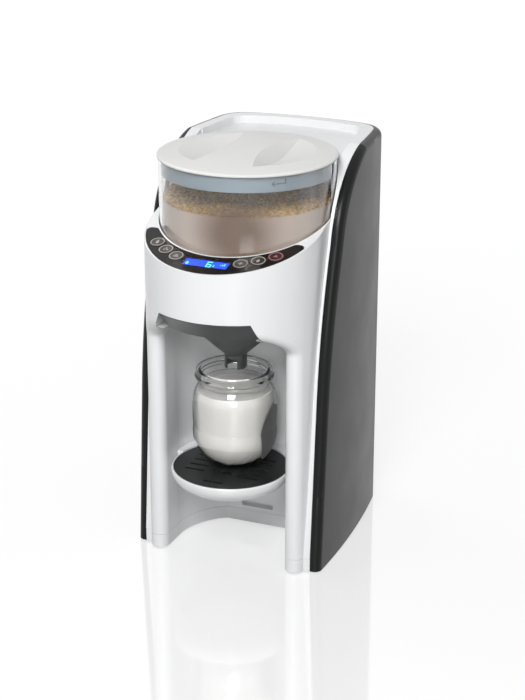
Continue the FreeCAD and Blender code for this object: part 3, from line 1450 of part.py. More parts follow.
def sloped(label, low, low_plan, high, high_plan):
    """A piece drawn between two plans at different heights."""
    form = new_body(label)
    sections = []
    for up, plan in ((low, low_plan), (high, high_plan)):
        sketch = sketch_on(form, along=up)
        draw(sketch, plan)
        sketch.Visibility = False
        sections.append(sketch)
    loft = form.newObject("PartDesign::AdditiveLoft", "sloped")
    loft.Profile = sections[0]
    loft.Sections = [sections[1]]
    loft.Ruled = True
    doc.recompute()
    return form


def drawer_front():
    """Dark visor that closes the head's opening and slopes back to the drawer's floor."""
    rear = "visor_run+visor_thick"
    visor = sloped("visor_form", "drawer_low", drawer_plan("visor_run", "0", thick="visor_thick"),
                   "drawer_top", drawer_plan("0", "0", thick=rear))
    low = "visor_run-drawer_wall*0.6"
    hollow = sloped("visor_hollow", "drawer_low+visor_thick+drawer_wall",
                    drawer_plan(low, "drawer_wall", thick=rear + "-drawer_wall-(%s)" % low),
                    "drawer_top-drawer_wall",
                    drawer_plan("drawer_wall*2.4", "drawer_wall",
                                thick=rear + "-drawer_wall*3.4"))
    return keep(boolean("Cut", "drawer_front", visor, hollow))


def mixing_funnel():
    """Open-topped drawer with the cone and spout that the powder and the water fall through."""
    box = new_body("funnel_box")
    front = "visor_run+visor_thick+gap/3"
    block(box, drawer_plan(front, "0", "drawer_rear_y"), "drawer_low", "drawer_top")
    inner = new_body("funnel_box_inside")
    block(inner, drawer_plan(front + "+drawer_wall", "drawer_wall+groove_deep",
                             "drawer_rear_y-drawer_wall"),
          "drawer_low+drawer_wall", "drawer_top+5")
    cone = new_body("funnel_cone")
    turn(cone, [
        corner("0", "spout_low"),
        corner("spout_radius", "spout_low"),
        corner("funnel_neck", "funnel_neck_z"),
        corner("funnel_mouth", "funnel_mouth_z"),
        corner("funnel_mouth", "drawer_low+1"),
        corner("0", "drawer_low+1")], "0", "funnel_y")
    bore = new_body("funnel_bore")
    turn(bore, [
        corner("0", "spout_low-5"),
        corner("spout_radius-spout_wall", "spout_low-5"),
        corner("funnel_neck-spout_wall", "funnel_neck_z+spout_wall*0.4"),
        corner("funnel_mouth-drawer_wall-groove_deep", "funnel_mouth_z"),
        corner("funnel_mouth-drawer_wall-groove_deep", "drawer_low+drawer_wall+1"),
        corner("0", "drawer_low+drawer_wall+1")], "0", "funnel_y")
    grooves = []
    for side in (-1, 1):
        groove = new_body("funnel_groove_%s" % ("left" if side < 0 else "right"))
        edges = ["%d*(drawer_half-groove_deep)" % side, "%d*(drawer_half+5)" % side]
        if side < 0:
            edges.reverse()
        block(groove, box_corners(edges[0], edges[1], "solid_rear_y-10", "drawer_rear_y+5"),
              "groove_low", "groove_low+groove_tall")
        grooves.append(groove)
    notch = new_body("spout_notch")
    block(notch, box_corners("-spout_notch_half", "spout_notch_half", "funnel_y-20", "funnel_y"),
          "spout_low-5", "spout_low+spout_notch_tall")
    body = joined("funnel_solid", [box, cone])
    return keep(boolean("Cut", "mixing_funnel", body,
                        joined("funnel_tools", [inner, bore, notch] + grooves)))


def drawer_runners():
    """A pair of rails on the bay's ceiling whose ribs guide the drawer."""
    for side, name in ((-1, "left_drawer_runner"), (1, "right_drawer_runner")):
        rail = new_body(name)
        inner_x = "notch_half+gap"

        def between(low, high):
            """Two distances from the middle, in rising order on this side."""
            pair = ["%d*(%s)" % (side, low), "%d*(%s)" % (side, high)]
            return pair if side > 0 else pair[::-1]

        web = between(inner_x, inner_x + "+2.4")
        block(rail, box_corners(web[0], web[1], "solid_rear_y+gap", "notch_rear_y-1"),
              "bay_top+shell_wall+gap/3", "notch_top-0.6")
        rib = between("drawer_half-groove_deep+gap", inner_x + "+1")
        block(rail, box_corners(rib[0], rib[1], "solid_rear_y+gap", "notch_rear_y-1"),
              "groove_low+gap", "groove_low+groove_tall-gap")
        foot = between(inner_x, inner_x + "+9")
        block(rail, box_corners(foot[0], foot[1], "solid_rear_y+10", "notch_rear_y-20"),
              "bay_top+shell_wall+gap/3", "bay_top+shell_wall+2.4")
        keep(rail)


# ------------------------------------------------------------------------------------------
# Tray, its dark grid, and the bottle on it
# ------------------------------------------------------------------------------------------

def drip_tray():
    """White round dish with the arm that hooks into the bay's rear wall."""
    tray = new_body("tray_dish")
    mid = ("bay_mid_x-shelf_gap*0.9", "bay_mid_y-shelf_gap*0.5")
    block(tray, [
        corner("-bay_half+shelf_gap", "bay_bend_y"),
        corner("bay_half-shelf_gap", "bay_bend_y", bow=mid),
        corner("bay_corner_x-shelf_gap*0.4", "bay_back_y-shelf_gap"),
        corner("-bay_corner_x+shelf_gap*0.4", "bay_back_y-shelf_gap",
               bow=("-(%s)" % mid[0], mid[1]))], "shelf_low", "shelf_top")
    turn(tray, [
        corner("0", "tray_low"),
        corner("tray_belly", "tray_low", bow=("tray_radius-3.4", "tray_low+6.6")),
        corner("tray_radius", "tray_rim_z-1"),
        corner("tray_radius-0.6", "tray_rim_z"),
        corner("0", "tray_rim_z")], "0", "tray_y")
    turn(tray, [
        corner("0", "tray_floor"),
        corner("tray_belly+2", "tray_floor"),
        corner("grid_radius-2.5", "grid_top-grid_thick"),
        corner("grid_radius+gap", "grid_top-grid_thick"),
        corner("grid_radius+gap", "shelf_top+5"),
        corner("0", "shelf_top+5")], "0", "tray_y", cut=True)
    level = "slot_low_z+2*slot_step"
    block(tray, box_corners("-arm_half", "arm_half", "tray_y+grid_radius-4", "arm_end_y"),
          level + "-arm_thick/2", level + "+arm_thick/2")
    block(tray, box_corners("-arm_half", "arm_half", "arm_end_y-arm_hook", "arm_end_y"),
          level + "-slot_height/2+gap", level + "+slot_height/2-gap")
    return keep(tray, "drip_tray")


def drip_grid():
    """Dark plate with drain slots, a thumb scoop and a half-moon hole to lift it by."""
    grid = new_body("grid_plate")
    block(grid, ("0", "tray_y", "grid_radius"), "grid_top-grid_thick", "grid_top")
    round_edges(grid, lambda edge, middle: abs(middle.z - value_of("grid_top")) < 0.01, "0.8")
    half_width = "grid_slot_width/2"
    places = [("0", "-grid_end_y"), ("0", "grid_end_y")]
    for row in range(-2, 3):
        for side in (-1, 1):
            places.append(("%d*grid_slot_x" % side, "%d*grid_pitch" % row))
    for across, along in places:
        middle_y = "tray_y+%s" % along
        block(grid, box_corners("%s-grid_slot_half" % across, "%s+grid_slot_half" % across,
                                middle_y + "-" + half_width, middle_y + "+" + half_width,
                                half_width + "-0.05"), "grid_top-grid_thick-5",
              "grid_top+5", cut=True)
    turn(grid, [
        corner("0", "grid_top-thumb_depth"),
        corner("thumb_radius", "grid_top+0.4",
               bow=("thumb_radius*0.6", "grid_top-thumb_depth*0.6")),
        corner("0", "grid_top+0.4")], "0", "tray_y+thumb_y", cut=True)
    hole_y = "tray_y+thumb_y+1"
    block(grid, [
        corner("-thumb_hole_half", hole_y),
        corner("thumb_hole_half", hole_y, bow=("0", hole_y + "+thumb_hole_reach"))],
        "grid_top-grid_thick-5", "grid_top+5", cut=True)
    return keep(grid, "drip_grid")


def bottle_profile(inset):
    """Outer line of the bottle from its foot to its rim, drawn in by an inset."""
    def inward(radius):
        return "%s-(%s)" % (radius, inset)

    low = "grid_top+gap+(%s)" % inset
    return [
        corner("0", low),
        corner(inward("bottle_foot_radius"), low,
               bow=(inward("bottle_body_radius-6"), "grid_top+15")),
        corner(inward("bottle_body_radius-0.9"), "grid_top+42",
               bow=(inward("bottle_body_radius-0.2"), "bottle_body_z-14")),
        corner(inward("bottle_body_radius"), "bottle_body_z",
               bow=(inward("bottle_body_radius-1.9"), "bottle_body_z+9")),
        corner(inward("bottle_neck_radius"), "bottle_neck_z")]


def bottle_shell():
    """Clear wide-necked bottle with a bead below its rim."""
    bottle = new_body("bottle_shell")
    turn(bottle, bottle_profile("0") + [
        corner("bottle_neck_radius", "bottle_bead_z-2.4",
               bow=("bottle_bead_radius-0.6", "bottle_bead_z-1.9")),
        corner("bottle_bead_radius", "bottle_bead_z",
               bow=("bottle_bead_radius-1", "bottle_bead_z+1.4")),
        corner("bottle_rim_radius", "bottle_bead_z+2"),
        corner("bottle_rim_radius", "bottle_rim_z", "0.6"),
        corner("0", "bottle_rim_z")], "0", "bottle_y")
    turn(bottle, bottle_profile("bottle_wall") + [
        corner("bottle_neck_radius-bottle_wall", "bottle_rim_z+5"),
        corner("0", "bottle_rim_z+5")], "0", "bottle_y", cut=True)
    return keep(bottle)


def bottle_milk():
    """Mixed formula standing in the bottle."""
    fill = new_body("milk_fill")
    turn(fill, bottle_profile("bottle_wall+0.05") + [
        corner("bottle_neck_radius-bottle_wall-0.05", "bottle_rim_z"),
        corner("0", "bottle_rim_z")], "0", "bottle_y")
    block(fill, ("0", "bottle_y", "2*bottle_body_radius"), "milk_top", "bottle_rim_z+10",
          cut=True)
    return keep(fill, "bottle_milk")


def bottle_grips():
    """Dark oval grip inlays on both sides of the bottle."""
    for side, name in ((-1, "bottle_grip_left"), (1, "bottle_grip_right")):
        layer = new_body(name + "_layer")
        turn(layer, bottle_profile("-grip_thick") + [corner("0", "bottle_neck_z")],
             "0", "bottle_y")
        turn(layer, bottle_profile("0") + [corner("0", "bottle_neck_z")],
             "0", "bottle_y", cut=True)
        oval = doc.addObject("Part::Ellipse", name + "_outline")
        bind(oval, "MajorRadius", "(grip_high-grip_low)/2")
        bind(oval, "MinorRadius", "grip_half")
        oval.Placement = FreeCAD.Placement(
            Vector(0, value_of("bottle_y"), value_of("(grip_low+grip_high)/2")),
            FreeCAD.Rotation(Vector(0, 1, 0), 90))
        doc.recompute()
        prism = doc.addObject("Part::Feature", name + "_prism")
        face = Part.Face(Part.Wire(oval.Shape.Edges))
        prism.Shape = face.extrude(Vector(side * 2 * value_of("bottle_body_radius"), 0, 0))
        keep(boolean("Common", name, layer, prism))


# ------------------------------------------------------------------------------------------
# Water side and electrics behind the bay
# ------------------------------------------------------------------------------------------
PLINTH_FLOOR = "(base_height+shell_wall)"
FEET = [("%d*foot_front_x" % side, "foot_front_y") for side in (-1, 1)] + [
    ("%d*foot_rear_x" % side, "foot_rear_y") for side in (-1, 1)]


def rear_frame():
    """Inner frame behind the bay: two side walls, a front wall and the tank's shelf."""
    frame = new_body("frame_form")
    inner = "(tank_half+gap*2)"
    outer = inner + "+frame_wall"
    block(frame, box_corners("-(%s)" % outer, outer, "frame_front_y",
                             "frame_front_y+frame_wall"), "tank_bottom-gap-frame_wall",
          "frame_top")
    block(frame, box_corners("-(%s)" % outer, outer, "frame_front_y", "frame_rear_y"),
          "tank_bottom-gap-frame_wall", "tank_bottom-gap")
    for side in (-1, 1):
        edges = ["%d*%s" % (side, inner), "%d*(%s)" % (side, outer)]
        if side < 0:
            edges.reverse()
        block(frame, box_corners(edges[0], edges[1], "frame_front_y", "frame_rear_y"),
              PLINTH_FLOOR + "+gap", "frame_top")
    block(frame, ("0", "valve_y", "valve_radius+0.8"), "tank_bottom-10", "tank_bottom+5",
          cut=True)
    return keep(frame, "rear_frame")


def tank_valve():
    """Spring valve in the tank's floor, and the seat and seal that it drops into."""
    valve = new_body("tank_valve")
    turn(valve, [
        corner("3", "valve_low"),
        corner("valve_radius-0.6", "valve_low", "0.8"),
        corner("valve_radius-0.6", "tank_bottom+tank_wall+gap/3"),
        corner("valve_flange", "tank_bottom+tank_wall+gap/3"),
        corner("valve_flange", "tank_bottom+tank_wall+2.4"),
        corner("6", "tank_bottom+tank_wall+7", "1"),
        corner("3", "tank_bottom+tank_wall+7")], "0", "valve_y")
    keep(valve)
    shelf = "tank_bottom-gap-frame_wall"
    seat = new_body("valve_seat")
    turn(seat, [
        corner("port_radius-1", "seat_low-port_length"),
        corner("port_radius", "seat_low-port_length"),
        corner("port_radius", "seat_low"),
        corner("seat_radius", "seat_low", "1.5"),
        corner("seat_radius", shelf + "-0.1"),
        corner("valve_radius+2", shelf + "-0.1"),
        corner("valve_radius+2", shelf + "-0.1-seal_thick"),
        corner("valve_radius", shelf + "-0.1-seal_thick"),
        corner("valve_radius", "valve_low-1"),
        corner("port_radius-1", "valve_low-1")], "0", "valve_y")
    keep(seat)
    seal = new_body("valve_seal")
    turn(seal, [
        corner("valve_radius-0.3", shelf + "-seal_thick"),
        corner("valve_radius+1.9", shelf + "-seal_thick"),
        corner("valve_radius+1.9", shelf + "-0.15"),
        corner("valve_radius-0.3", shelf + "-0.15")], "0", "valve_y")
    keep(seal)


def water_heater():
    """Steel heating vessel on its stand, with two nipples on top."""
    heater = new_body("water_heater")
    turn(heater, [
        corner("0", PLINTH_FLOOR + "+gap/3"),
        corner("heater_radius-4", PLINTH_FLOOR + "+gap/3"),
        corner("heater_radius-4", PLINTH_FLOOR + "+3"),
        corner("9", PLINTH_FLOOR + "+3"),
        corner("9", "heater_low"),
        corner("heater_radius", "heater_low", "4"),
        corner("heater_radius", "heater_top", "6"),
        corner("0", "heater_top")], "heater_x", "heater_y")
    for side in ("-", "+"):
        block(heater, ("heater_x" + side + "port_offset", "heater_y", "port_radius"),
              "heater_top-2", "heater_top+port_length")
    return keep(heater)


def water_pump():
    """Pump on its stand, with a nipple on top and one at the rear."""
    pump = new_body("water_pump")
    turn(pump, [
        corner("0", PLINTH_FLOOR + "+gap/3"),
        corner("pump_radius", PLINTH_FLOOR + "+gap/3"),
        corner("pump_radius", "pump_top-24"),
        corner("pump_head_radius", "pump_top-24"),
        corner("pump_head_radius", "pump_top", "2"),
        corner("0", "pump_top")], "pump_x", "heater_y")
    block(pump, ("pump_x", "heater_y", "port_radius"), "pump_top-2", "pump_top+port_length")
    sketch = sketch_on(pump, "XZ_Plane", along="-heater_y-pump_head_radius-port_length")
    draw_circle(sketch, "pump_x", "pump_top-12", "port_radius")
    pad(pump, sketch, "port_length+4")
    return keep(pump)


def hose(label, route):
    """Hose along straight runs with equal tangent bends, pushed over the nipples at its ends."""
    places = [Vector(*[value_of(text) for text in place]) for place in route]
    bend = value_of("hose_bend")
    edges = []
    here = places[0]
    for i in range(1, len(places) - 1):
        start, through, end = rounding_of(places[i - 1], places[i], places[i + 1], bend)
        edges.append(Part.LineSegment(here, start).toShape())
        edges.append(Part.Arc(start, through, end).toShape())
        here = end
    edges.append(Part.LineSegment(here, places[-1]).toShape())
    path = Part.Wire(edges)
    direction = (places[1] - places[0]).normalize()

    def swept(radius):
        """A round section swept along the whole path."""
        circle = Part.Wire(Part.Circle(places[0], direction, radius).toShape())
        return path.makePipeShell([circle], True, True)

    tube = swept(value_of("hose_radius")).cut(swept(value_of("port_radius+0.05")))
    feature = doc.addObject("Part::Feature", label)
    feature.Shape = tube
    return keep(feature)


def hoses():
    """From the tank to the pump, on to the heater, and up to the nozzle."""
    rear = "heater_y+pump_head_radius+port_length*0.2"
    hose("inlet_hose", [("0", "valve_y", "seat_low-0.3"), ("0", "valve_y", "pump_top-12"),
                        ("pump_x", "valve_y", "pump_top-12"), ("pump_x", rear, "pump_top-12")])
    top = "heater_top+port_length+20"
    hose("pump_hose", [("pump_x", "heater_y", "pump_top+0.3"), ("pump_x", "heater_y", top),
                       ("heater_x+port_offset", "heater_y", top),
                       ("heater_x+port_offset", "heater_y", "heater_top+0.3")])
    hot = "heater_x-port_offset"
    hose("nozzle_hose", [(hot, "heater_y", "heater_top+0.3"), (hot, "heater_y", "nozzle_hose_z"),
                         (hot, "nozzle_y", "nozzle_hose_z"),
                         ("nozzle_x-6", "nozzle_y", "nozzle_hose_z")])


def water_nozzle():
    """Nozzle under the well that sprays hot water into the funnel."""
    nozzle = new_body("water_nozzle")
    turn(nozzle, [
        corner("1.8", "nozzle_low"),
        corner("4.4", "nozzle_low"),
        corner("5.6", "nozzle_low+3"),
        corner("5.6", "well_floor-shell_wall-2"),
        corner("9", "well_floor-shell_wall-2"),
        corner("9", "well_floor-shell_wall-0.1"),
        corner("1.8", "well_floor-shell_wall-0.1")], "nozzle_x", "nozzle_y")
    sketch = sketch_on(nozzle, "YZ_Plane", along="nozzle_x-5-port_length")
    draw_circle(sketch, "nozzle_y", "nozzle_hose_z", "port_radius")
    pad(nozzle, sketch, "port_length+2")
    return keep(nozzle)


def power_board():
    """Power supply board on four posts of the rear frame's front wall."""
    board = new_body("power_board")
    plate_y = "frame_front_y-8"
    block(board, box_corners("board_left", "board_right", plate_y, plate_y + "+board_thick"),
          "board_low", "board_high")
    for across in ("board_left+5", "board_right-5"):
        for up in ("board_low+5", "board_high-5"):
            sketch = sketch_on(board, "XZ_Plane", along="-frame_front_y+0.1")
            draw_circle(sketch, across, up, "3")
            pad(board, sketch, "8.1-board_thick*0.5")
    block(board, box_corners("board_left+12", "board_left+34", plate_y + "-14", plate_y),
          "board_low+14", "board_low+36")
    block(board, box_corners("board_left+14", "board_right-10", plate_y + "-9", plate_y),
          "board_high-24", "board_high-12")
    return keep(board)


def mains_inlet():
    """Two-pin mains inlet in the rear cover."""
    inlet = new_body("inlet_form")
    inner = "half_depth-24"
    front = "half_depth-1.2"
    half_x = "inlet_half-gap/2"
    half_z = "(inlet_tall/2-gap/2)"
    block(inlet, box_corners("-(%s)" % half_x, half_x, inner, front),
          "inlet_z-" + half_z, "inlet_z+" + half_z)
    block(inlet, box_corners("-inlet_half-2.4", "inlet_half+2.4", "half_depth-panel_wall-3.4",
                             "half_depth-panel_wall-0.8"),
          "inlet_z-%s-2.4" % half_z, "inlet_z+%s+2.4" % half_z)
    block(inlet, box_corners("-8", "8", front + "-12", front + "+5"), "inlet_z-4.2",
          "inlet_z+4.2", cut=True)
    for side in ("-", ""):
        sketch = sketch_on(inlet, "XZ_Plane", along="-(%s)" % front + "+2")
        draw_circle(sketch, side + "4.3", "inlet_z", "pin_radius")
        pad(inlet, sketch, "12")
    return keep(inlet, "mains_inlet")


def rubber_feet():
    """Four rubber feet under the plinth."""
    pads = []
    for i, (across, along) in enumerate(FEET):
        foot = new_body("rubber_foot_%d" % (i + 1))
        turn(foot, [
            corner("0", "0"), corner("foot_radius-0.4", "0"),
            corner("foot_radius", "0.6"), corner("foot_radius", "foot_height"),
            corner("0", "foot_height")], across, along)
        pads.append(foot)
    group = doc.addObject("Part::Compound", "rubber_feet")
    group.Links = pads
    doc.recompute()
    return keep(group)


# ------------------------------------------------------------------------------------------
# Build every piece, check it and write it
# ------------------------------------------------------------------------------------------
def build():
    """Make all the pieces of the machine."""
    front_shell()
    bay_liner()
    well_plate()
    slot_plate()
    base_plinth()
    wrap = wrap_form()
    side_panels(wrap)
    rear_cover(wrap)
    water_tank(wrap)
    tank_lid()
    for make in (control_panel, display_window, display_module, control_board, buttons,
                 container_tub, container_base, portion_wheel, agitator, powder, lid_collar,
                 container_lid, lid_gasket, drive_gear, drive_bush, idler_gear, motor_pinion,
                 motor_shaft, gear_motor, motor_bracket, bracket_screws, drawer_front,
                 mixing_funnel, drawer_runners, drip_tray, drip_grid, bottle_shell,
                 bottle_milk, bottle_grips, rear_frame, tank_valve, water_heater, water_pump,
                 hoses, water_nozzle, power_board, mains_inlet, rubber_feet):
        make()
    doc.recompute()


def check_and_write():
    """Stop on any failed object or bad shape, then write one file for each piece."""
    for item in doc.Objects:
        if "Invalid" in item.State or "Error" in item.State:
            raise RuntimeError("%s failed: %s" % (item.Label, item.State))
    for name, item in nodes.items():
        shape = item.Shape
        if shape.isNull() or not shape.isValid() or not shape.Solids:
            raise RuntimeError("%s has no good shape" % name)
    os.makedirs("parts", exist_ok=True)
    for name, item in sorted(nodes.items()):
        item.Shape.exportStep(os.path.join("parts", name + ".step"))
        print("%-22s %2d solid(s) %10.0f mm3" % (name, len(item.Shape.Solids),
                                                item.Shape.Volume))
    print(len(nodes), "pieces")


build()
check_and_write()
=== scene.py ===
# %% [markdown]
# This is a countertop baby formula maker.  Its solids come in as a fixed frame: every object
# already stands in its place, in metres, with the front towards -Y.  They could be drawn again
# here, but parts that have to fit and move are best kept as the solids they are.  What is left
# for Blender is the light, the finish of each surface, and what is too fine or too soft for
# solids: the powder, the milk, the printed signs and the digits of the display.

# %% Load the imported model
import json
import math

import bmesh
import bpy
from mathutils import Matrix, Vector, noise


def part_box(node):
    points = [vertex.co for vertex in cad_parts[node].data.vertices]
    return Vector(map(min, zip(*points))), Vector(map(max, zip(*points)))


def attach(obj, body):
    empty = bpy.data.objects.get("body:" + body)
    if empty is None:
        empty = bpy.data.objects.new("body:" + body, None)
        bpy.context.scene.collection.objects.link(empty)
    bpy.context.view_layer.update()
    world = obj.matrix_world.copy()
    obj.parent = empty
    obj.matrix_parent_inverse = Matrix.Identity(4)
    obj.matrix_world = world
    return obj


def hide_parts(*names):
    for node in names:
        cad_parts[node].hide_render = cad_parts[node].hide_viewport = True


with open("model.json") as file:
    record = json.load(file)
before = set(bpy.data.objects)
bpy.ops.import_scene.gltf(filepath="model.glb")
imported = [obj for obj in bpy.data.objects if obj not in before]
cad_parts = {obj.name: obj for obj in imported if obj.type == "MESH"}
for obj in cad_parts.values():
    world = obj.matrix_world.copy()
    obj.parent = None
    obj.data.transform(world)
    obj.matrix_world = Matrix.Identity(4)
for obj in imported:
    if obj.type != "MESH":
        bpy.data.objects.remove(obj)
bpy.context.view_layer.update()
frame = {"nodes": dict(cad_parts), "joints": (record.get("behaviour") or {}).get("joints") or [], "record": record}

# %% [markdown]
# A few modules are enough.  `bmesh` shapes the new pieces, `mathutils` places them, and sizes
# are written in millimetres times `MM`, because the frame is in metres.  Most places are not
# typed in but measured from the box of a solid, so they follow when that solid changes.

MM = 0.001
MICRON = 1e-6
scene = bpy.context.scene
print("nodes loaded:", len(frame["nodes"]))


def middle_of(node):
    """Centre of a node's box at rest."""
    low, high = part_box(node)
    return (low + high) / 2


# %% [markdown]
# A camera is described by where it stands, what it looks at and its lens.  A wide lens close by
# would make the upright edges of the machine lean together.  This is a short telephoto from the
# front right, about 20 degrees above the worktop, which keeps them almost parallel.

# %% Camera
camera_place = Vector((0.6532, -1.5482, 0.8271))
camera_target = Vector((0.0155, -0.0230, 0.20715))
camera_data = bpy.data.cameras.new("camera")
camera_data.lens = 90.6
camera_data.sensor_width = 36
camera = bpy.data.objects.new("camera", camera_data)
camera.location = camera_place
camera.rotation_euler = (camera_target - camera_place).to_track_quat("-Z", "Y").to_euler()
scene.collection.objects.link(camera)
scene.camera = camera
scene.view_settings.view_transform = "Standard"
print("camera stands", round((camera_target - camera_place).length, 3), "m away")

# %% [markdown]
# A few small helpers carry all the materials.  Colours are written as sRGB hex, as a maker's
# sheet gives them, and `linear` turns them into the values that a shader wants.  `add` puts one
# node in a material, sets its settings and feeds its sockets, either with a value or with a
# link.  A Mix node of colours has its factor at input 0, its colours at 6 and 7 and the mixed
# colour at output 2.  `per_mm` turns the real size of a pattern into the scale of a noise.


# %% Helpers for materials
def linear(hex_code):
    """An sRGB hex colour as a linear RGBA tuple, by the curve of the sRGB standard."""
    channels = [int(hex_code[i:i + 2], 16) / 255 for i in (1, 3, 5)]
    return tuple(c / 12.92 if c <= 0.04045 else ((c + 0.055) / 1.055) ** 2.4
                 for c in channels) + (1.0,)


def add(material, kind, feeds=None, **settings):
    """Add a node, set its settings, and feed its inputs by name or number."""
    node = material.node_tree.nodes.new(kind)
    for name, value in settings.items():
        setattr(node, name, value)
    for name, value in (feeds or {}).items():
        if isinstance(value, bpy.types.NodeSocket):
            material.node_tree.links.new(value, node.inputs[name])
        else:
            node.inputs[name].default_value = value
    return node


def feed(material, socket, target, name):
    """Link a socket to an input of a shader."""
    material.node_tree.links.new(socket, target.inputs[name])


def new_material(name):
    """A material with only its Principled shader."""
    material = bpy.data.materials.new(name)
    material.use_nodes = True
    return material


def shader_of(material):
    """The Principled shader of a material."""
    return material.node_tree.nodes["Principled BSDF"]


def per_mm(size):
    """Noise scale at which one cell of the pattern is about this many millimetres."""
    return 1 / (size * MM)


print("white in linear light:", linear("#FFFFFF"))

# %% [markdown]
# Most of the machine is injection-moulded plastic.  What the eye reads as moulded plastic is a
# very faint waviness that bends reflections, a grain from the tool, and a gloss that drifts a
# little from place to place where hands have polished it.  Painted textures could show that,
# but they need a flat map of every part.  One recipe that reads the object's own coordinates
# draws all three on any shape.  A noise seldom leaves 0.3 to 0.7, so that is the range that is
# mapped to the drift of the gloss.  Real tool grain is often finer than 0.1 mm, which nobody
# can see from here, so grains are drawn at 0.5 mm or more, as coarse as they need to show.

# %% Moulded plastic
handling_size = 45  # mm from one handled place to the next


def moulded(name, colour, shade, roughness, grain, relief):
    """Moulded plastic: colour that drifts to a shade, grain in millimetres, relief in microns."""
    drift = 0.025
    material = new_material(name)
    shader = shader_of(material)
    place = add(material, "ShaderNodeTexCoord").outputs["Object"]
    cloud = add(material, "ShaderNodeTexNoise", {
        "Vector": place, "Scale": per_mm(handling_size), "Detail": 2.0, "Roughness": 0.5})
    mix = add(material, "ShaderNodeMix", {
        0: cloud.outputs["Fac"], 6: linear(colour), 7: linear(shade)}, data_type="RGBA")
    gloss = add(material, "ShaderNodeMapRange", {
        "Value": cloud.outputs["Fac"], "From Min": 0.3, "From Max": 0.7,
        "To Min": roughness - drift, "To Max": roughness + drift})
    tool = add(material, "ShaderNodeTexNoise", {
        "Vector": place, "Scale": per_mm(grain), "Detail": 3.0, "Roughness": 0.55})
    bump = add(material, "ShaderNodeBump", {
        "Height": tool.outputs["Fac"], "Strength": 0.35, "Distance": relief * MICRON})
    feed(material, mix.outputs[2], shader, "Base Color")
    feed(material, gloss.outputs[0], shader, "Roughness")
    feed(material, bump.outputs[0], shader, "Normal")
    return material


print("one handled place every", handling_size, "mm")

# %% [markdown]
# The white housing is glossy ABS.  Its tool is polished, so the grain is only the long, low
# waves of the shrinking plastic, about 6 mm apart, and the gloss is high.  The lid of the
# powder container is polypropylene: a little greyer and clearly duller.  Polypropylene also
# lets light in below its surface, so the lid gets a little subsurface scattering.

# %% White plastics
white_shell = moulded("white_gloss_abs", "#EEEFF0", "#E8E9EA",
                      roughness=0.22, grain=6.0, relief=40)
shader_of(white_shell).inputs["IOR"].default_value = 1.53
white_lid = moulded("white_satin_polypropylene", "#E6E6E4", "#DEDEDD",
                    roughness=0.42, grain=1.2, relief=25)
shader = shader_of(white_lid)
shader.inputs["Subsurface Weight"].default_value = 0.08
shader.inputs["Subsurface Radius"].default_value = (6 * MM, 6 * MM, 6 * MM)
print("white plastics:", white_shell.name, "and", white_lid.name)

# %% [markdown]
# The side panels are near-black ABS with a fine spark-eroded texture of about 0.8 mm, which
# turns the glare of a window into one broad grey sheen.  The control panel is piano-black
# polycarbonate: smoother, with a thin hard coat, and with a warm tint that comes from the
# print on the back of the sheet.  Both are set to mirror less than such plastics do, because
# in an all-white room they would turn grey.  The keys are the same plastic, browner, uncoated.

# %% Dark panels and keys
dark_panel = moulded("black_satin_abs", "#121313", "#0E0F0F",
                     roughness=0.3, grain=0.8, relief=7)
shader_of(dark_panel).inputs["Specular IOR Level"].default_value = 0.18
control_gloss = moulded("piano_black_polycarbonate", "#17110F", "#110D0C",
                        roughness=0.2, grain=8.0, relief=12)
shader = shader_of(control_gloss)
shader.inputs["Coat Weight"].default_value = 0.05
shader.inputs["Coat Roughness"].default_value = 0.06
shader.inputs["Specular IOR Level"].default_value = 0.2
button_dark = moulded("key_cap_polycarbonate", "#2B2522", "#241F1D",
                      roughness=0.28, grain=1.0, relief=15)
print("dark plastics:", dark_panel.name, control_gloss.name, button_dark.name)

# %% [markdown]
# The signs are pad printed.  Pad printing ink is a thin, matt, slightly rough film, pale on the
# dark keys, red for the start key and grey on the collar.  A material of its own could be made
# for it, but at this size it can't be told from a thin plate of matt plastic, so the inks take
# the recipe for plastics with a finer grain.

# %% Printing inks
white_ink = moulded("key_print_pale_ink", "#B9B5AC", "#A9A59D",
                    roughness=0.5, grain=0.6, relief=8)
red_ink = moulded("key_print_red_ink", "#B96A74", "#AB5E69",
                  roughness=0.5, grain=0.6, relief=8)
collar_ink = moulded("collar_print_grey_ink", "#5E686F", "#555F66",
                     roughness=0.5, grain=0.6, relief=8)
print("inks:", white_ink.name, red_ink.name, collar_ink.name)

# %% [markdown]
# The funnel drawer and the drip grid are dark polypropylene that gets wet, so they are moulded
# with a matt texture that hides water marks.  The grips of the bottle are a soft rubber-like
# TPE, which adds a faint sheen at glancing angles.  Satin grey ABS and black nylon are used
# where hardly anyone looks: inside, and for the mains inlet.

# %% Dark matt plastics
funnel_dark = moulded("slate_grey_polypropylene", "#494C4C", "#424545",
                      roughness=0.4, grain=1.0, relief=30)
grid_dark = moulded("black_matt_polypropylene", "#1E2020", "#191B1B",
                    roughness=0.42, grain=0.9, relief=35)
grip_dark = moulded("grey_soft_tpe", "#4B4B4A", "#424241",
                    roughness=0.6, grain=0.7, relief=45)
shader_of(grip_dark).inputs["Sheen Weight"].default_value = 0.25
grey_inner = moulded("grey_satin_abs", "#A9ADB2", "#9FA3A8",
                     roughness=0.4, grain=1.5, relief=25)
inlet_black = moulded("black_nylon_66", "#1B1B1C", "#222223",
                      roughness=0.5, grain=0.8, relief=30)
print("matt plastics:", funnel_dark.name, grid_dark.name, grip_dark.name)

# %% [markdown]
# Clear parts need a shader that lets light through.  A glass shader could do it, but the
# Principled shader with transmission also takes a tint and a roughness, and refracts and
# mirrors as clear copolyester does.  The lamps' shadow rays take a Transparent shader instead,
# because a path tracer finds the light behind refracting walls only by luck.  That shader is
# grey, since the softboxes are so large that some of their light is found both ways.

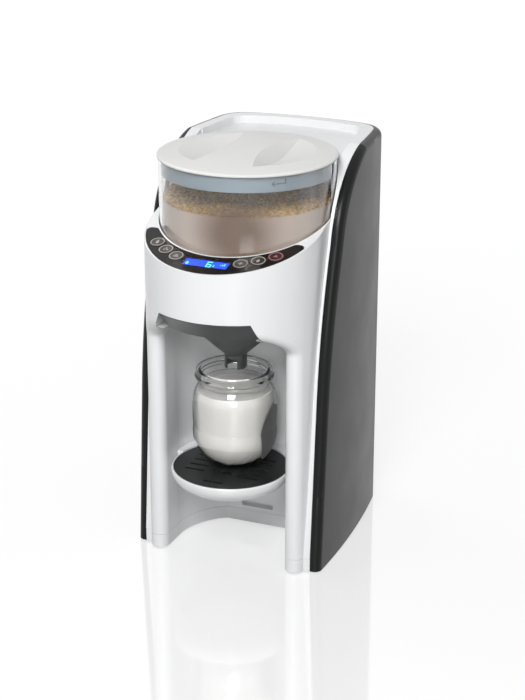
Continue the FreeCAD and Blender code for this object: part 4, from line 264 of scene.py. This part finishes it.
# %% Clear plastic
wiping_size = 14  # mm, width of the fine marks that a cloth leaves
shadow_tint = (0.62, 0.62, 0.62, 1)


def clear(name, colour, roughness, wear, ior=1.5, transmission=1.0):
    """Clear moulded plastic with fine wiping marks that blur it a little in places."""
    material = new_material(name)
    shader = shader_of(material)
    place = add(material, "ShaderNodeTexCoord").outputs["Object"]
    marks = add(material, "ShaderNodeTexNoise", {
        "Vector": place, "Scale": per_mm(wiping_size), "Detail": 6.0, "Roughness": 0.7})
    blur = add(material, "ShaderNodeMapRange", {
        "Value": marks.outputs["Fac"], "From Min": 0.45, "From Max": 0.75,
        "To Min": roughness, "To Max": roughness + wear})
    feed(material, blur.outputs[0], shader, "Roughness")
    shader.inputs["Base Color"].default_value = linear(colour)
    shader.inputs["Transmission Weight"].default_value = transmission
    shader.inputs["IOR"].default_value = ior
    path = add(material, "ShaderNodeLightPath")
    open_way = add(material, "ShaderNodeBsdfTransparent", {"Color": shadow_tint})
    mix = add(material, "ShaderNodeMixShader", {
        0: path.outputs["Is Shadow Ray"], 1: shader.outputs[0], 2: open_way.outputs[0]})
    output = material.node_tree.nodes["Material Output"]
    feed(material, mix.outputs[0], output, "Surface")
    return material


# %% [markdown]
# The powder container and the bottle are colourless copolyester, and the tank is the same with
# a smoky dye.  The collar is blasted on its inside, so it is frosted and lets only some light
# through.  The display's window is acrylic.  It is bonded to what lies under it and mirrors
# less than a free sheet, which an index below acrylic's 1.49 stands for.

# %% Clear parts
clear_tub = clear("clear_copolyester", "#FBFCFC", roughness=0.02, wear=0.03)
bottle_clear = clear("clear_bottle_copolyester", "#FCFCFC", roughness=0.02, wear=0.02)
display_clear = clear("clear_acrylic_window", "#E4E9FF", roughness=0.02, wear=0.02, ior=1.3)
tank_smoked = clear("smoked_copolyester", "#5C6266", roughness=0.08, wear=0.08)
frosted_collar = clear("frosted_copolyester", "#9AA8B2", roughness=0.42, wear=0.1,
                       transmission=0.4)
print("wiping marks are", wiping_size, "mm wide")

# %% [markdown]
# The liquid crystal module glows from behind, so its face is an emitter.  A backlight is never
# quite even.  A gradient from its middle could draw that, but it would have to be centred on
# the module, and at this size a slow noise of 16 mm looks the same.

# %% Glowing display
glow_size = 16  # mm from a brighter to a dimmer place of the backlight


def glowing(name, colour, shade, strength):
    """A lit surface whose glow drifts from one colour to another."""
    material = new_material(name)
    shader = shader_of(material)
    place = add(material, "ShaderNodeTexCoord").outputs["Object"]
    cloud = add(material, "ShaderNodeTexNoise", {
        "Vector": place, "Scale": per_mm(glow_size), "Detail": 1.0})
    mix = add(material, "ShaderNodeMix", {
        0: cloud.outputs["Fac"], 6: linear(colour), 7: linear(shade)}, data_type="RGBA")
    feed(material, mix.outputs[2], shader, "Base Color")
    feed(material, mix.outputs[2], shader, "Emission Color")
    shader.inputs["Emission Strength"].default_value = strength
    shader.inputs["Roughness"].default_value = 0.3
    return material


display_blue = glowing("lit_lcd_blue", "#1040FF", "#2458FF", strength=0.95)
display_marks = glowing("lit_lcd_cyan", "#7FF0FF", "#66E2FF", strength=1.3)
print("lit materials:", display_blue.name, display_marks.name)

# %% [markdown]
# Inside, the drive and the water side hold zinc-plated, galvanised and stainless steel and a
# brass bush.  Turned and rolled metal shows fine lines.  An anisotropic shader could draw their
# glare, but not the lines themselves, so they come from a noise that is squeezed along one
# axis: what is left of it are lines across that axis.

# %% Metals
line_size = 4  # mm, length of a line; the squeeze makes it a tenth or a twelfth as wide


def lined_metal(name, colour, shade, roughness, squeeze=(1, 1, 12)):
    """Metal with fine lines from its tool, across the axis that is squeezed."""
    drift = 0.06
    material = new_material(name)
    shader = shader_of(material)
    place = add(material, "ShaderNodeTexCoord").outputs["Object"]
    narrow = add(material, "ShaderNodeMapping", {"Vector": place, "Scale": squeeze})
    lines = add(material, "ShaderNodeTexNoise", {
        "Vector": narrow.outputs[0], "Scale": per_mm(line_size), "Detail": 4.0})
    mix = add(material, "ShaderNodeMix", {
        0: lines.outputs["Fac"], 6: linear(colour), 7: linear(shade)}, data_type="RGBA")
    gloss = add(material, "ShaderNodeMapRange", {
        "Value": lines.outputs["Fac"], "From Min": 0.3, "From Max": 0.7,
        "To Min": roughness - drift, "To Max": roughness + drift})
    bump = add(material, "ShaderNodeBump", {
        "Height": lines.outputs["Fac"], "Strength": 0.25, "Distance": 20 * MICRON})
    feed(material, mix.outputs[2], shader, "Base Color")
    feed(material, gloss.outputs[0], shader, "Roughness")
    feed(material, bump.outputs[0], shader, "Normal")
    shader.inputs["Metallic"].default_value = 1.0
    return material


motor_steel = lined_metal("zinc_plated_motor_can", "#B7B9BC", "#A2A4A8", roughness=0.32)
bracket_steel = lined_metal("stamped_galvanised_steel", "#B9BABB", "#9FA1A3", roughness=0.4,
                            squeeze=(1, 10, 1))
heater_steel = lined_metal("drawn_stainless_steel", "#C2C0BD", "#ABA9A6", roughness=0.28)
bush_brass = lined_metal("turned_brass", "#C9A04E", "#B58A3C", roughness=0.3)
print("metals:", motor_steel.name, bracket_steel.name, heater_steel.name, bush_brass.name)

# %% [markdown]
# The other hidden parts are what such machines use: gears of natural nylon, silicone hoses,
# seals of EPDM rubber, feet of nitrile rubber and a circuit board under green solder mask.
# All of them have a moulded or cast skin, so the recipe for plastics serves them too.

# %% Inner parts
gear_nylon = moulded("natural_nylon", "#E2DFD3", "#D8D4C6",
                     roughness=0.4, grain=0.8, relief=20)
hose_silicone = moulded("translucent_silicone", "#D5D6D3", "#C9CBC8",
                        roughness=0.45, grain=3.0, relief=25)
seal_rubber = moulded("grey_epdm_rubber", "#5A5C5E", "#505254",
                      roughness=0.65, grain=0.6, relief=30)
foot_rubber = moulded("black_nitrile_rubber", "#1D1D1D", "#252525",
                      roughness=0.75, grain=0.5, relief=40)
circuit_board = moulded("green_solder_mask", "#1F6B3E", "#195A34",
                        roughness=0.35, grain=2.0, relief=30)
print("materials so far:", len(bpy.data.materials))

# %% [markdown]
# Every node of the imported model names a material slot.  The materials could be put on node by
# node, but a table that pairs the slots with them, and one loop, give a node that is added to
# the model later its finish as well.

# %% Put the materials on the solids
finish_of_slot = {
    "white_shell": white_shell, "white_lid": white_lid, "dark_panel": dark_panel,
    "control_gloss": control_gloss, "button_dark": button_dark,
    "display_clear": display_clear, "display_blue": display_blue, "clear_tub": clear_tub,
    "frosted_collar": frosted_collar, "funnel_dark": funnel_dark, "grid_dark": grid_dark,
    "grip_dark": grip_dark, "bottle_clear": bottle_clear, "tank_smoked": tank_smoked,
    "grey_inner": grey_inner, "gear_nylon": gear_nylon, "circuit_board": circuit_board,
    "motor_steel": motor_steel, "bracket_steel": bracket_steel, "heater_steel": heater_steel,
    "bush_brass": bush_brass, "hose_silicone": hose_silicone, "seal_rubber": seal_rubber,
    "foot_rubber": foot_rubber, "inlet_black": inlet_black}
slot_of_node = {part["node"]: part["material_slot"]
                for part in frame["record"]["subparts"]}
dressed = 0
for name, node in frame["nodes"].items():
    material = finish_of_slot.get(slot_of_node.get(name))
    if material:
        for material_slot in node.material_slots:
            material_slot.material = material
        dressed += 1
print("nodes dressed:", dressed)

# %% [markdown]
# The machine stands on a polished pale table in a white room, over its own soft reflection.
# To the eye, directly, reflected or through clear plastic, table and room are both white.  If
# they also threw all that light on the machine, it would wash the shape out of white plastic.
# So the strength asks the Light Path node whether a dull surface has scattered the ray.


# %% How bright table and room are
def to_the_eye(material, dim, bright):
    """A strength that is bright for rays that no dull surface has scattered, and else dim."""
    seen = add(material, "ShaderNodeLightPath")
    direct = add(material, "ShaderNodeMath", {
        0: seen.outputs["Is Camera Ray"], 1: seen.outputs["Is Transmission Ray"]},
        operation="MAXIMUM")
    any_eye = add(material, "ShaderNodeMath", {
        0: direct.outputs[0], 1: seen.outputs["Is Glossy Ray"]}, operation="MAXIMUM")
    unscattered = add(material, "ShaderNodeMath", {
        0: seen.outputs["Diffuse Depth"], 1: 0.5}, operation="LESS_THAN")
    straight = add(material, "ShaderNodeMath", {
        0: any_eye.outputs[0], 1: unscattered.outputs[0]}, operation="MULTIPLY")
    return add(material, "ShaderNodeMapRange", {
        "Value": straight.outputs[0], "To Min": dim, "To Max": bright}).outputs[0]


world = bpy.data.worlds.new("studio")
world.use_nodes = True
scene.world = world
background = world.node_tree.nodes["Background"]
background.inputs["Color"].default_value = (1, 1, 1, 1)
feed(world, to_the_eye(world, dim=0.27, bright=1.0), background, "Strength")
print("room:", world.name)

# %% [markdown]
# The floor of the scene is that table, one large lacquered and polished sheet.  Its gloss
# drifts over a hand's breadth, where it has been wiped, and its high index keeps the reflection
# of the machine visible from above.  It glows only for the eye, so its own colour can stay a
# middling grey that throws little light up into the bay.  A curved backdrop could close the
# view behind it, but the white room does that already.

# %% Floor
floor_half = 6  # metres, from the middle to an edge, far outside the view
wiped_size = 120  # mm from one wiped place to the next
floor_bm = bmesh.new()
bmesh.ops.create_grid(floor_bm, x_segments=1, y_segments=1, size=floor_half)
floor_mesh = bpy.data.meshes.new("floor")
floor_bm.to_mesh(floor_mesh)
floor_bm.free()
floor = bpy.data.objects.new("floor", floor_mesh)
scene.collection.objects.link(floor)
floor_lacquer = new_material("polished_white_table")
shader = shader_of(floor_lacquer)
place = add(floor_lacquer, "ShaderNodeTexCoord").outputs["Object"]
film = add(floor_lacquer, "ShaderNodeTexNoise", {
    "Vector": place, "Scale": per_mm(wiped_size), "Detail": 2.0})
gloss = add(floor_lacquer, "ShaderNodeMapRange", {
    "Value": film.outputs["Fac"], "To Min": 0.04, "To Max": 0.08})
feed(floor_lacquer, gloss.outputs[0], shader, "Roughness")
shader.inputs["Base Color"].default_value = linear("#989898")
shader.inputs["IOR"].default_value = 2.0
shader.inputs["Emission Color"].default_value = linear("#FFFFFF")
feed(floor_lacquer, to_the_eye(floor_lacquer, dim=0.0, bright=0.6), shader, "Emission Strength")
floor_mesh.materials.append(floor_lacquer)
print("floor is", 2 * floor_half, "m wide")

# %% [markdown]
# Small lamps or a sun would draw hard shadows, so four large softboxes shape the white body.
# The key stands high in front, so the head shades the rear wall of the bay, and a lower one at
# the front right reaches under the tray.  A weak one at the side draws the long grey sheen down
# the dark panel, and one high at the left lights the lid and shades its finger recesses.


# %% Lamps
def soft_lamp(name, place, target, size, watts):
    """A square softbox that points at a target."""
    data = bpy.data.lights.new(name, "AREA")
    data.shape = "SQUARE"
    data.size = size
    data.energy = watts
    lamp = bpy.data.objects.new(name, data)
    lamp.location = place
    lamp.rotation_euler = (Vector(target) - Vector(place)).to_track_quat("-Z", "Y").to_euler()
    scene.collection.objects.link(lamp)


soft_lamp("key", place=(0.35, -1.7, 1.6), target=(0, 0, 0.2), size=0.7, watts=33)
soft_lamp("front", place=(0.8, -2.1, 0.7), target=(0, 0, 0.2), size=0.7, watts=9)
soft_lamp("side", place=(1.9, 0.5, 0.5), target=(0.1, 0, 0.2), size=0.9, watts=3)
soft_lamp("top", place=(-1.1, 0.4, 1.6), target=(0, 0, 0.3), size=0.8, watts=5)
print("lamps:", len(bpy.data.lights))

# %% [markdown]
# New pieces start as a bmesh.  `make_piece` turns one into an object: it welds doubles, turns
# the faces outwards, gives it a material and lets it ride on one of the machine's bodies.  Round
# pieces are a line of points that is spun about the upright axis, as on a lathe, because then a
# short list of radii and heights says everything about the shape.


# %% Helpers for new pieces
def make_piece(name, bm, material, body, smooth=True):
    """Make a bmesh a finished piece that rides on a body."""
    bmesh.ops.remove_doubles(bm, verts=bm.verts, dist=1 * MICRON)
    bmesh.ops.recalc_face_normals(bm, faces=bm.faces)
    for face in bm.faces:
        face.smooth = smooth
    mesh = bpy.data.meshes.new(name)
    bm.to_mesh(mesh)
    bm.free()
    mesh.materials.append(material)
    piece = bpy.data.objects.new(name, mesh)
    scene.collection.objects.link(piece)
    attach(piece, body)
    print("piece", name, "has", len(mesh.polygons), "faces")
    return piece


def line_of(bm, points):
    """Join points given as (radius, height) with edges; returns what spin needs."""
    verts = [bm.verts.new((radius, 0, height)) for radius, height in points]
    edges = [bm.edges.new(pair) for pair in zip(verts, verts[1:])]
    return verts + edges


def spin_round(bm, geometry, steps):
    """Turn a line once round the Z axis and weld the seam."""
    bmesh.ops.spin(bm, geom=geometry, cent=(0, 0, 0), axis=(0, 0, 1), dvec=(0, 0, 0),
                   angle=math.tau, steps=steps, use_merge=True, use_duplicate=False)


# %% [markdown]
# Formula powder is fine, but it clumps.  Seen through the clear wall it has a smooth packed
# side and a rough, crumbly top.  Thousands of loose grains could be scattered, but from here
# only the crumbs show.  So the piece is a turned solid whose top is divided finely.  A few
# rings close below the edge keep its shading from running down the side.

# %% Turned body of the powder
powder_low, powder_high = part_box("powder")
powder_middle = middle_of("powder")
wall_gap = 0.4 * MM  # keeps the powder off the clear wall
heaping = 3 * MM  # room for heaps and crumbs above the mean level
powder_radius = (powder_high.x - powder_low.x) / 2 - wall_gap
powder_level = powder_high.z - heaping
rings, spokes = 56, 300
foot_radius = powder_radius - 1 * MM
top_line = [(powder_radius * i / rings, powder_level) for i in range(rings + 1)]
side_line = [(powder_radius, powder_level - drop * MM) for drop in (1.5, 2.2, 3.0)]
side_line += [(powder_radius, powder_low.z + 1 * MM), (powder_radius, powder_low.z),
              (foot_radius, powder_low.z), (0, powder_low.z)]
powder_bm = bmesh.new()
spin_round(powder_bm, line_of(powder_bm, top_line + side_line), spokes)
print("powder is", round(2 * powder_radius / MM, 1), "mm across")

# %% [markdown]
# Two sizes of noise push the top up and down: low heaps of about 30 mm, which fade out towards
# the wall, and crumbs of about 4 mm.  A bump in the material would be cheaper, but it leaves
# the edge along the wall a clean line, and that is where the eye looks for crumbs.

# %% Heaps and crumbs
heap_size, heap_height = 30, 2.0  # mm
crumb_size, crumb_height = 4.2, 3.2  # mm
crumb_drop = 2.0  # mm, brings the mean of the crumbs back to the level
headroom = 0.2 * MM  # between the highest crumb and the top of the solid it stands for
for vert in powder_bm.verts:
    if vert.co.z > powder_level - 0.1 * MM:
        outwards = Vector((vert.co.x, vert.co.y)).length / powder_radius
        spot = vert.co / MM
        heap = noise.noise(spot / heap_size) * heap_height
        crumb = noise.turbulence(spot / crumb_size, 3, False) * crumb_height - crumb_drop
        vert.co.z += (heap * (1 - outwards ** 4) + crumb) * MM
        vert.co.z = min(vert.co.z, powder_high.z - headroom)
bmesh.ops.translate(powder_bm, verts=powder_bm.verts,
                    vec=(powder_middle.x, powder_middle.y, 0))
print("powder faces:", len(powder_bm.faces))

# %% [markdown]
# Milk powder is a pale cream, and the imported side keeps that colour.  The top is painted
# browner as painted shade, because the lid shades it and its crumbs shade one another: a noise
# of about the crumbs' own size paints dark crumbs in shade and pale ones in light.  At the
# front of the side, a soft dark-brown patch, measured by distance from its middle, is a painted
# dark reflection in the clear wall.

# %% Powder colour
shading_size = 3.2  # mm
shading_share = 0.75  # of the top's colour
# Middle, reach and strength of a painted dark reflection on the front of the powder's side.
painted_reflection_middle = (0.022, -0.105, 0.352)
painted_reflection_near, painted_reflection_far, painted_reflection_share = 12 * MM, 58 * MM, 0.92
milk_powder = new_material("milk_powder")
shader = shader_of(milk_powder)
place = add(milk_powder, "ShaderNodeTexCoord").outputs["Object"]
crumbs = add(milk_powder, "ShaderNodeTexNoise", {
    "Vector": place, "Scale": per_mm(shading_size), "Detail": 5.0, "Roughness": 0.65})
height = add(milk_powder, "ShaderNodeSeparateXYZ", {0: place})
on_top = add(milk_powder, "ShaderNodeMapRange", {
    "Value": height.outputs["Z"], "From Min": powder_level - 4 * MM,
    "From Max": powder_level - 1.5 * MM})
# The top's brown is painted shade from the lid; the side keeps the powder's own colour.
side_or_top = add(milk_powder, "ShaderNodeMix", {
    0: on_top.outputs[0], 6: linear("#B8A99F"), 7: linear("#A8834F")}, data_type="RGBA")
# Dark and pale crumbs on the top: painted shade and painted light.
dark_spots = add(milk_powder, "ShaderNodeMapRange", {
    "Value": crumbs.outputs["Fac"], "From Min": 0.35, "From Max": 0.65})
spots = add(milk_powder, "ShaderNodeMix", {
    0: dark_spots.outputs[0], 6: linear("#5C3F1D"), 7: linear("#E2BF7C")}, data_type="RGBA")
spotted = add(milk_powder, "ShaderNodeMath", {0: on_top.outputs[0], 1: shading_share},
              operation="MULTIPLY")
shaded_powder = add(milk_powder, "ShaderNodeMix", {
    0: spotted.outputs[0], 6: side_or_top.outputs[2], 7: spots.outputs[2]}, data_type="RGBA")
# Painted dark reflection: a soft dark-brown patch round its middle, fading outwards.
away = add(milk_powder, "ShaderNodeVectorMath", {0: place, 1: painted_reflection_middle},
           operation="DISTANCE")
painted_reflection = add(milk_powder, "ShaderNodeMapRange", {
    "Value": away.outputs["Value"], "From Min": painted_reflection_near, "From Max": painted_reflection_far,
    "To Min": painted_reflection_share, "To Max": 0.0}, interpolation_type="SMOOTHSTEP")
colour = add(milk_powder, "ShaderNodeMix", {
    0: painted_reflection.outputs[0], 6: shaded_powder.outputs[2], 7: linear("#54391F")}, data_type="RGBA")
feed(milk_powder, colour.outputs[2], shader, "Base Color")
print("packed patch fades out", round(painted_reflection_far / MM), "mm from its middle")

# %% [markdown]
# The grains themselves are far too small to see.  What they do is scatter light every way, so
# the powder is dull and almost without a highlight, and a bump of 0.9 mm, the finest that
# still shows, gives it its dusty skin.

# %% Powder surface
dust_size = 0.9  # mm
dust = add(milk_powder, "ShaderNodeTexNoise", {
    "Vector": place, "Scale": per_mm(dust_size), "Detail": 3.0})
dust_bump = add(milk_powder, "ShaderNodeBump", {
    "Height": dust.outputs["Fac"], "Strength": 0.6, "Distance": 200 * MICRON})
feed(milk_powder, dust_bump.outputs[0], shader, "Normal")
shader.inputs["Roughness"].default_value = 0.9
shader.inputs["Specular IOR Level"].default_value = 0.2
powder_piece = make_piece("powder_crumbs", powder_bm, milk_powder, "container")
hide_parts("powder")

# %% [markdown]
# Milk climbs the wall of its bottle by a millimetre or two: the meniscus.  A plain solid with a
# flat top would look like plaster.  The fill is turned from a line that follows the inside of
# the bottle, given as radius and height above its foot, and ends in that small upward curve,
# given as radius and depth below the rim of the milk.

# %% Milk in the bottle
milk_low, milk_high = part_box("bottle_milk")
milk_middle = middle_of("bottle_milk")
foot_z, level_z = milk_low.z, milk_high.z
# Radius and height, then radius and depth, in millimetres.
wall_line = ((15.3, 0), (18.3, 1), (20.7, 2), (24.4, 4), (27.2, 6), (31.4, 10), (35.1, 15),
             (37.5, 20), (39.0, 25), (39.7, 30), (38.8, 40), (39.4, 50), (39.65, 60), (39.7, 65),
             (39.4, 70), (38.9, 73), (38.3, 75), (37.6, 77), (37.2, 78))
meniscus_line = ((36.4, 0.7), (34.6, 1.2), (32.0, 1.5), (0, 1.5))
fill_line = [(0, foot_z)] + [(radius * MM, foot_z + rise * MM) for radius, rise in wall_line]
fill_line += [(radius * MM, level_z - sink * MM) for radius, sink in meniscus_line]
milk_bm = bmesh.new()
spin_round(milk_bm, line_of(milk_bm, fill_line), steps=96)
bmesh.ops.translate(milk_bm, verts=milk_bm.verts, vec=(milk_middle.x, milk_middle.y, 0))
print("milk stands", round((level_z - foot_z) / MM), "mm high")

# %% [markdown]
# Mixed formula is a warm white with faint swirls, which a distorted noise of 25 mm draws.  Its
# fat globules scatter light below the surface, a little further for red than for blue, and
# that subsurface scattering is what makes milk look soft instead of painted.

# %% Milk material
swirl_size = 25  # mm
mixed_formula = new_material("mixed_formula")
shader = shader_of(mixed_formula)
place = add(mixed_formula, "ShaderNodeTexCoord").outputs["Object"]
swirl = add(mixed_formula, "ShaderNodeTexNoise", {
    "Vector": place, "Scale": per_mm(swirl_size), "Detail": 2.0, "Distortion": 0.6})
cream = add(mixed_formula, "ShaderNodeMix", {
    0: swirl.outputs["Fac"], 6: linear("#D6D5D1"), 7: linear("#D0CFCA")}, data_type="RGBA")
feed(mixed_formula, cream.outputs[2], shader, "Base Color")
shader.inputs["Roughness"].default_value = 0.25
shader.inputs["Subsurface Weight"].default_value = 0.25
shader.inputs["Subsurface Radius"].default_value = (8 * MM, 7 * MM, 6 * MM)
milk_piece = make_piece("milk_fill", milk_bm, mixed_formula, "bottle")
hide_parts("bottle_milk")

# %% [markdown]
# The keys lie on a tilted panel.  Measuring the tilt from a mesh would be fiddly, but the keys'
# joints push straight into the panel, so the joint's axis, reversed, is its normal.  A mark is
# drawn flat round the origin and then laid on its key by one matrix: tilt about X, then move to
# the middle of the cap's top.

# %% Where the keys are
press = next(joint for joint in frame["joints"] if joint["name"] == "button_1_press")
panel_normal = -Vector(press["axis"]).normalized()
panel_angle = math.atan2(-panel_normal.y, panel_normal.z)
panel_tilt = Matrix.Rotation(panel_angle, 4, "X")
cap_height = 4.4 * MM  # of a key, along the normal
print("panel tilt:", round(math.degrees(panel_angle), 2), "degrees")


def lie_on(node, thickness):
    """Matrix that lays a flat mark on the top of a tilted node of this thickness."""
    top = middle_of(node) + panel_normal * thickness / 2
    return Matrix.Translation(top) @ panel_tilt


# %% [markdown]
# Printed signs could be an image, but plates stay sharp however close the camera comes.  Each
# sign is put together from bars, discs and rings, drawn in millimetres and 0.12 mm proud of the
# cap, which is as thick as a good pad print looks.  A disc with three corners is a triangle,
# and a ring is a flat rectangle spun round the normal.

# %% Bars, discs and rings
print_height = 0.12 * MM


def bar(bm, x, y, wide, tall, turn=0.0):
    """A thin plate centred at x, y and turned about the normal."""
    made = bmesh.ops.create_cube(bm, size=1)["verts"]
    bmesh.ops.scale(bm, verts=made, vec=(wide * MM, tall * MM, print_height))
    bmesh.ops.rotate(bm, verts=made, cent=(0, 0, 0), matrix=Matrix.Rotation(turn, 3, "Z"))
    bmesh.ops.translate(bm, verts=made, vec=(x * MM, y * MM, print_height / 2))


def disc(bm, x, y, radius, corners=20, turn=0.0):
    """A thin round or many-cornered plate centred at x, y and turned about the normal."""
    made = bmesh.ops.create_cone(bm, cap_ends=True, segments=corners, radius1=radius * MM,
                                 radius2=radius * MM, depth=print_height)["verts"]
    bmesh.ops.rotate(bm, verts=made, cent=(0, 0, 0), matrix=Matrix.Rotation(turn, 3, "Z"))
    bmesh.ops.translate(bm, verts=made, vec=(x * MM, y * MM, print_height / 2))


def ring(bm, radius, width):
    """A flat ring round the origin."""
    outer, inner = radius * MM, (radius - width) * MM
    corners = ((outer, 0), (outer, print_height), (inner, print_height), (inner, 0))
    section = [bm.verts.new((reach, 0, height)) for reach, height in corners]
    edges = [bm.edges.new((section[i], section[i - 1])) for i in range(4)]
    spin_round(bm, section + edges, steps=48)


print("prints stand", round(print_height / MM, 2), "mm proud")

# %% [markdown]
# The six keys carry signs instead of words, so no language is needed: a bottle for the amount,
# heaped dots for the powder, bars for its level, a plus, a drop for water and a triangle to
# start.  Each sign is a short function, so one loop can draw whichever belongs to a key.


# %% Signs of the keys
def sign_bottle(bm):
    """A bottle: body and neck."""
    bar(bm, 0, -0.7, wide=2.6, tall=4.2)
    bar(bm, 0, 2.2, wide=1.4, tall=1.6)


def sign_scoop(bm):
    """Powder: three heaped dots."""
    for x, y in ((-1.6, -1.0), (1.6, -1.0), (0, 1.4)):
        disc(bm, x, y, radius=1.0)


def sign_bars(bm):
    """Three bars of rising length."""
    step = 1.6
    for i in range(3):
        bar(bm, 0, (1 - i) * step, wide=2.6 + i * step, tall=0.8)


def sign_plus(bm):
    """A plus."""
    bar(bm, 0, 0, wide=4.6, tall=1.0)
    bar(bm, 0, 0, wide=1.0, tall=4.6)


def sign_drop(bm):
    """A water drop: a disc with a point on top."""
    disc(bm, 0, -0.8, radius=1.7)
    disc(bm, 0, 1.0, radius=1.5, corners=3, turn=math.pi / 2)


def sign_start(bm):
    """A start triangle that points right."""
    disc(bm, 0, 0, radius=2.6, corners=3)


signs = (sign_bottle, sign_scoop, sign_bars, sign_plus, sign_drop, sign_start)
print("signs:", len(signs))

# %% [markdown]
# Every key also has a printed ring just inside its edge.  Ring and sign are one piece, which
# rides on the key's own body, so the print goes down with the key when it is pressed.

# %% Print the keys
ring_radius, ring_width = 6.9, 0.9  # mm
for number, draw_sign in enumerate(signs, start=1):
    key = "button_%d" % number
    sign_bm = bmesh.new()
    ring(sign_bm, ring_radius, ring_width)
    draw_sign(sign_bm)
    bmesh.ops.transform(sign_bm, verts=sign_bm.verts, matrix=lie_on(key, cap_height))
    ink = red_ink if draw_sign is sign_start else white_ink
    make_piece("key_mark_%d" % number, sign_bm, ink, key, smooth=False)

# %% [markdown]
# The frosted collar carries one small printed sign: an arrow that shows which way it turns to
# unlock, with a stop at its end.  Modelled in place it would need a curved plate for every
# line.  So it is drawn flat, as on the keys, divided a few times and wrapped round the collar:
# the way along X becomes an angle, and the way along Y becomes height.

# %% Turning sign on the collar
collar_low, collar_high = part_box("lid_collar")
collar_middle = middle_of("lid_collar")
collar_radius = (collar_high.x - collar_low.x) / 2
sign_angle = math.radians(-47)  # from +X towards the front
sign_height = collar_middle.z + 0.6 * MM
film_gap = 0.02 * MM  # keeps the print and the collar from lying in one surface
arrow_long, line_wide, stop_tall = 13, 1.2, 5.6  # mm
barb_long, barb_angle = 3.6, math.radians(40)
barb_x, barb_y = -5.4, 1.1  # mm, from the middle of the arrow to the middle of a barb


def wrap(bm, radius, angle, height):
    """Wrap a flat sign round an upright axis at the origin."""
    for vert in bm.verts:
        turn = angle + vert.co.x / radius
        reach = radius + vert.co.z
        vert.co = Vector((reach * math.cos(turn), reach * math.sin(turn), height + vert.co.y))


sign_bm = bmesh.new()
bar(sign_bm, 0, 0, wide=arrow_long, tall=line_wide)
bar(sign_bm, arrow_long / 2, (stop_tall - line_wide) / 2, wide=line_wide, tall=stop_tall)
for side in (1, -1):
    bar(sign_bm, barb_x, barb_y * side, wide=barb_long, tall=line_wide,
        turn=barb_angle * side)
bmesh.ops.subdivide_edges(sign_bm, edges=sign_bm.edges, cuts=3, use_grid_fill=True)
wrap(sign_bm, collar_radius + film_gap, sign_angle, sign_height)
bmesh.ops.translate(sign_bm, verts=sign_bm.verts, vec=(collar_middle.x, collar_middle.y, 0))
make_piece("collar_sign", sign_bm, collar_ink, "lock_ring", smooth=False)
print("collar is", round(2 * collar_radius / MM, 1), "mm across")

# %% [markdown]
# A segment display builds its digits from seven bars, lettered a to g from the top round to the
# middle.  The 6 lights all but the upper right one, b.  Beside it stand two strokes for the
# unit, a drop and a row of level bars.  A font could write the digit, but its strokes would run
# together, and a real display shows the gaps between its segments.

# %% Digits of the display
segment_long, segment_wide = 4.2, 1.1  # mm


def digit(bm, x, lit):
    """A seven-segment digit; lit names its bars from a to g."""
    half = segment_long / 2
    places = {"a": (0, segment_long, 0), "g": (0, 0, 0), "d": (0, -segment_long, 0),
              "b": (half, half, 1), "c": (half, -half, 1),
              "f": (-half, half, 1), "e": (-half, -half, 1)}
    for name in lit:
        across, up, upright = places[name]
        size = (segment_wide, segment_long) if upright else (segment_long, segment_wide)
        bar(bm, x + across, up, *size)


def unit(bm, x):
    """Two short strokes that stand for the unit."""
    bar(bm, x, -2.2, wide=2.2, tall=0.8)
    bar(bm, x, -0.4, wide=1.4, tall=0.8)


def drop(bm, x):
    """A water drop, as on its key."""
    disc(bm, x, -1.6, radius=1.6)
    disc(bm, x, 0.4, radius=1.4, corners=3, turn=math.pi / 2)


def level(bm, x):
    """Three bars that rise to the right from one line."""
    foot, step = 0.4, 1.8
    for i in range(3):
        tall = 1.2 + i
        bar(bm, x + i * step, foot + tall / 2, wide=1.0, tall=tall)


digits_bm = bmesh.new()
digit(digits_bm, 3.5, "acdefg")
unit(digits_bm, 8.6)
drop(digits_bm, -18.6)
level(digits_bm, 15)
print("lit bars and discs have", len(digits_bm.faces), "faces")

# %% [markdown]
# The digits lie on the module, just under the clear window.  The module's sides are upright and
# only its top and bottom are tilted.  So the height of its box is its thickness, divided by the
# cosine of the tilt, plus its depth times the tangent, and that gives back the thickness.

# %% Lay the digits on the module
module_low, module_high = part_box("display_module")
module_size = module_high - module_low
module_thick = (module_size.z - module_size.y * math.tan(panel_angle)) * math.cos(panel_angle)
bmesh.ops.transform(digits_bm, verts=digits_bm.verts,
                    matrix=lie_on("display_module", module_thick))
make_piece("display_digits", digits_bm, display_marks, "housing",
           smooth=False)
print("display module is", round(module_thick / MM, 2), "mm thick")
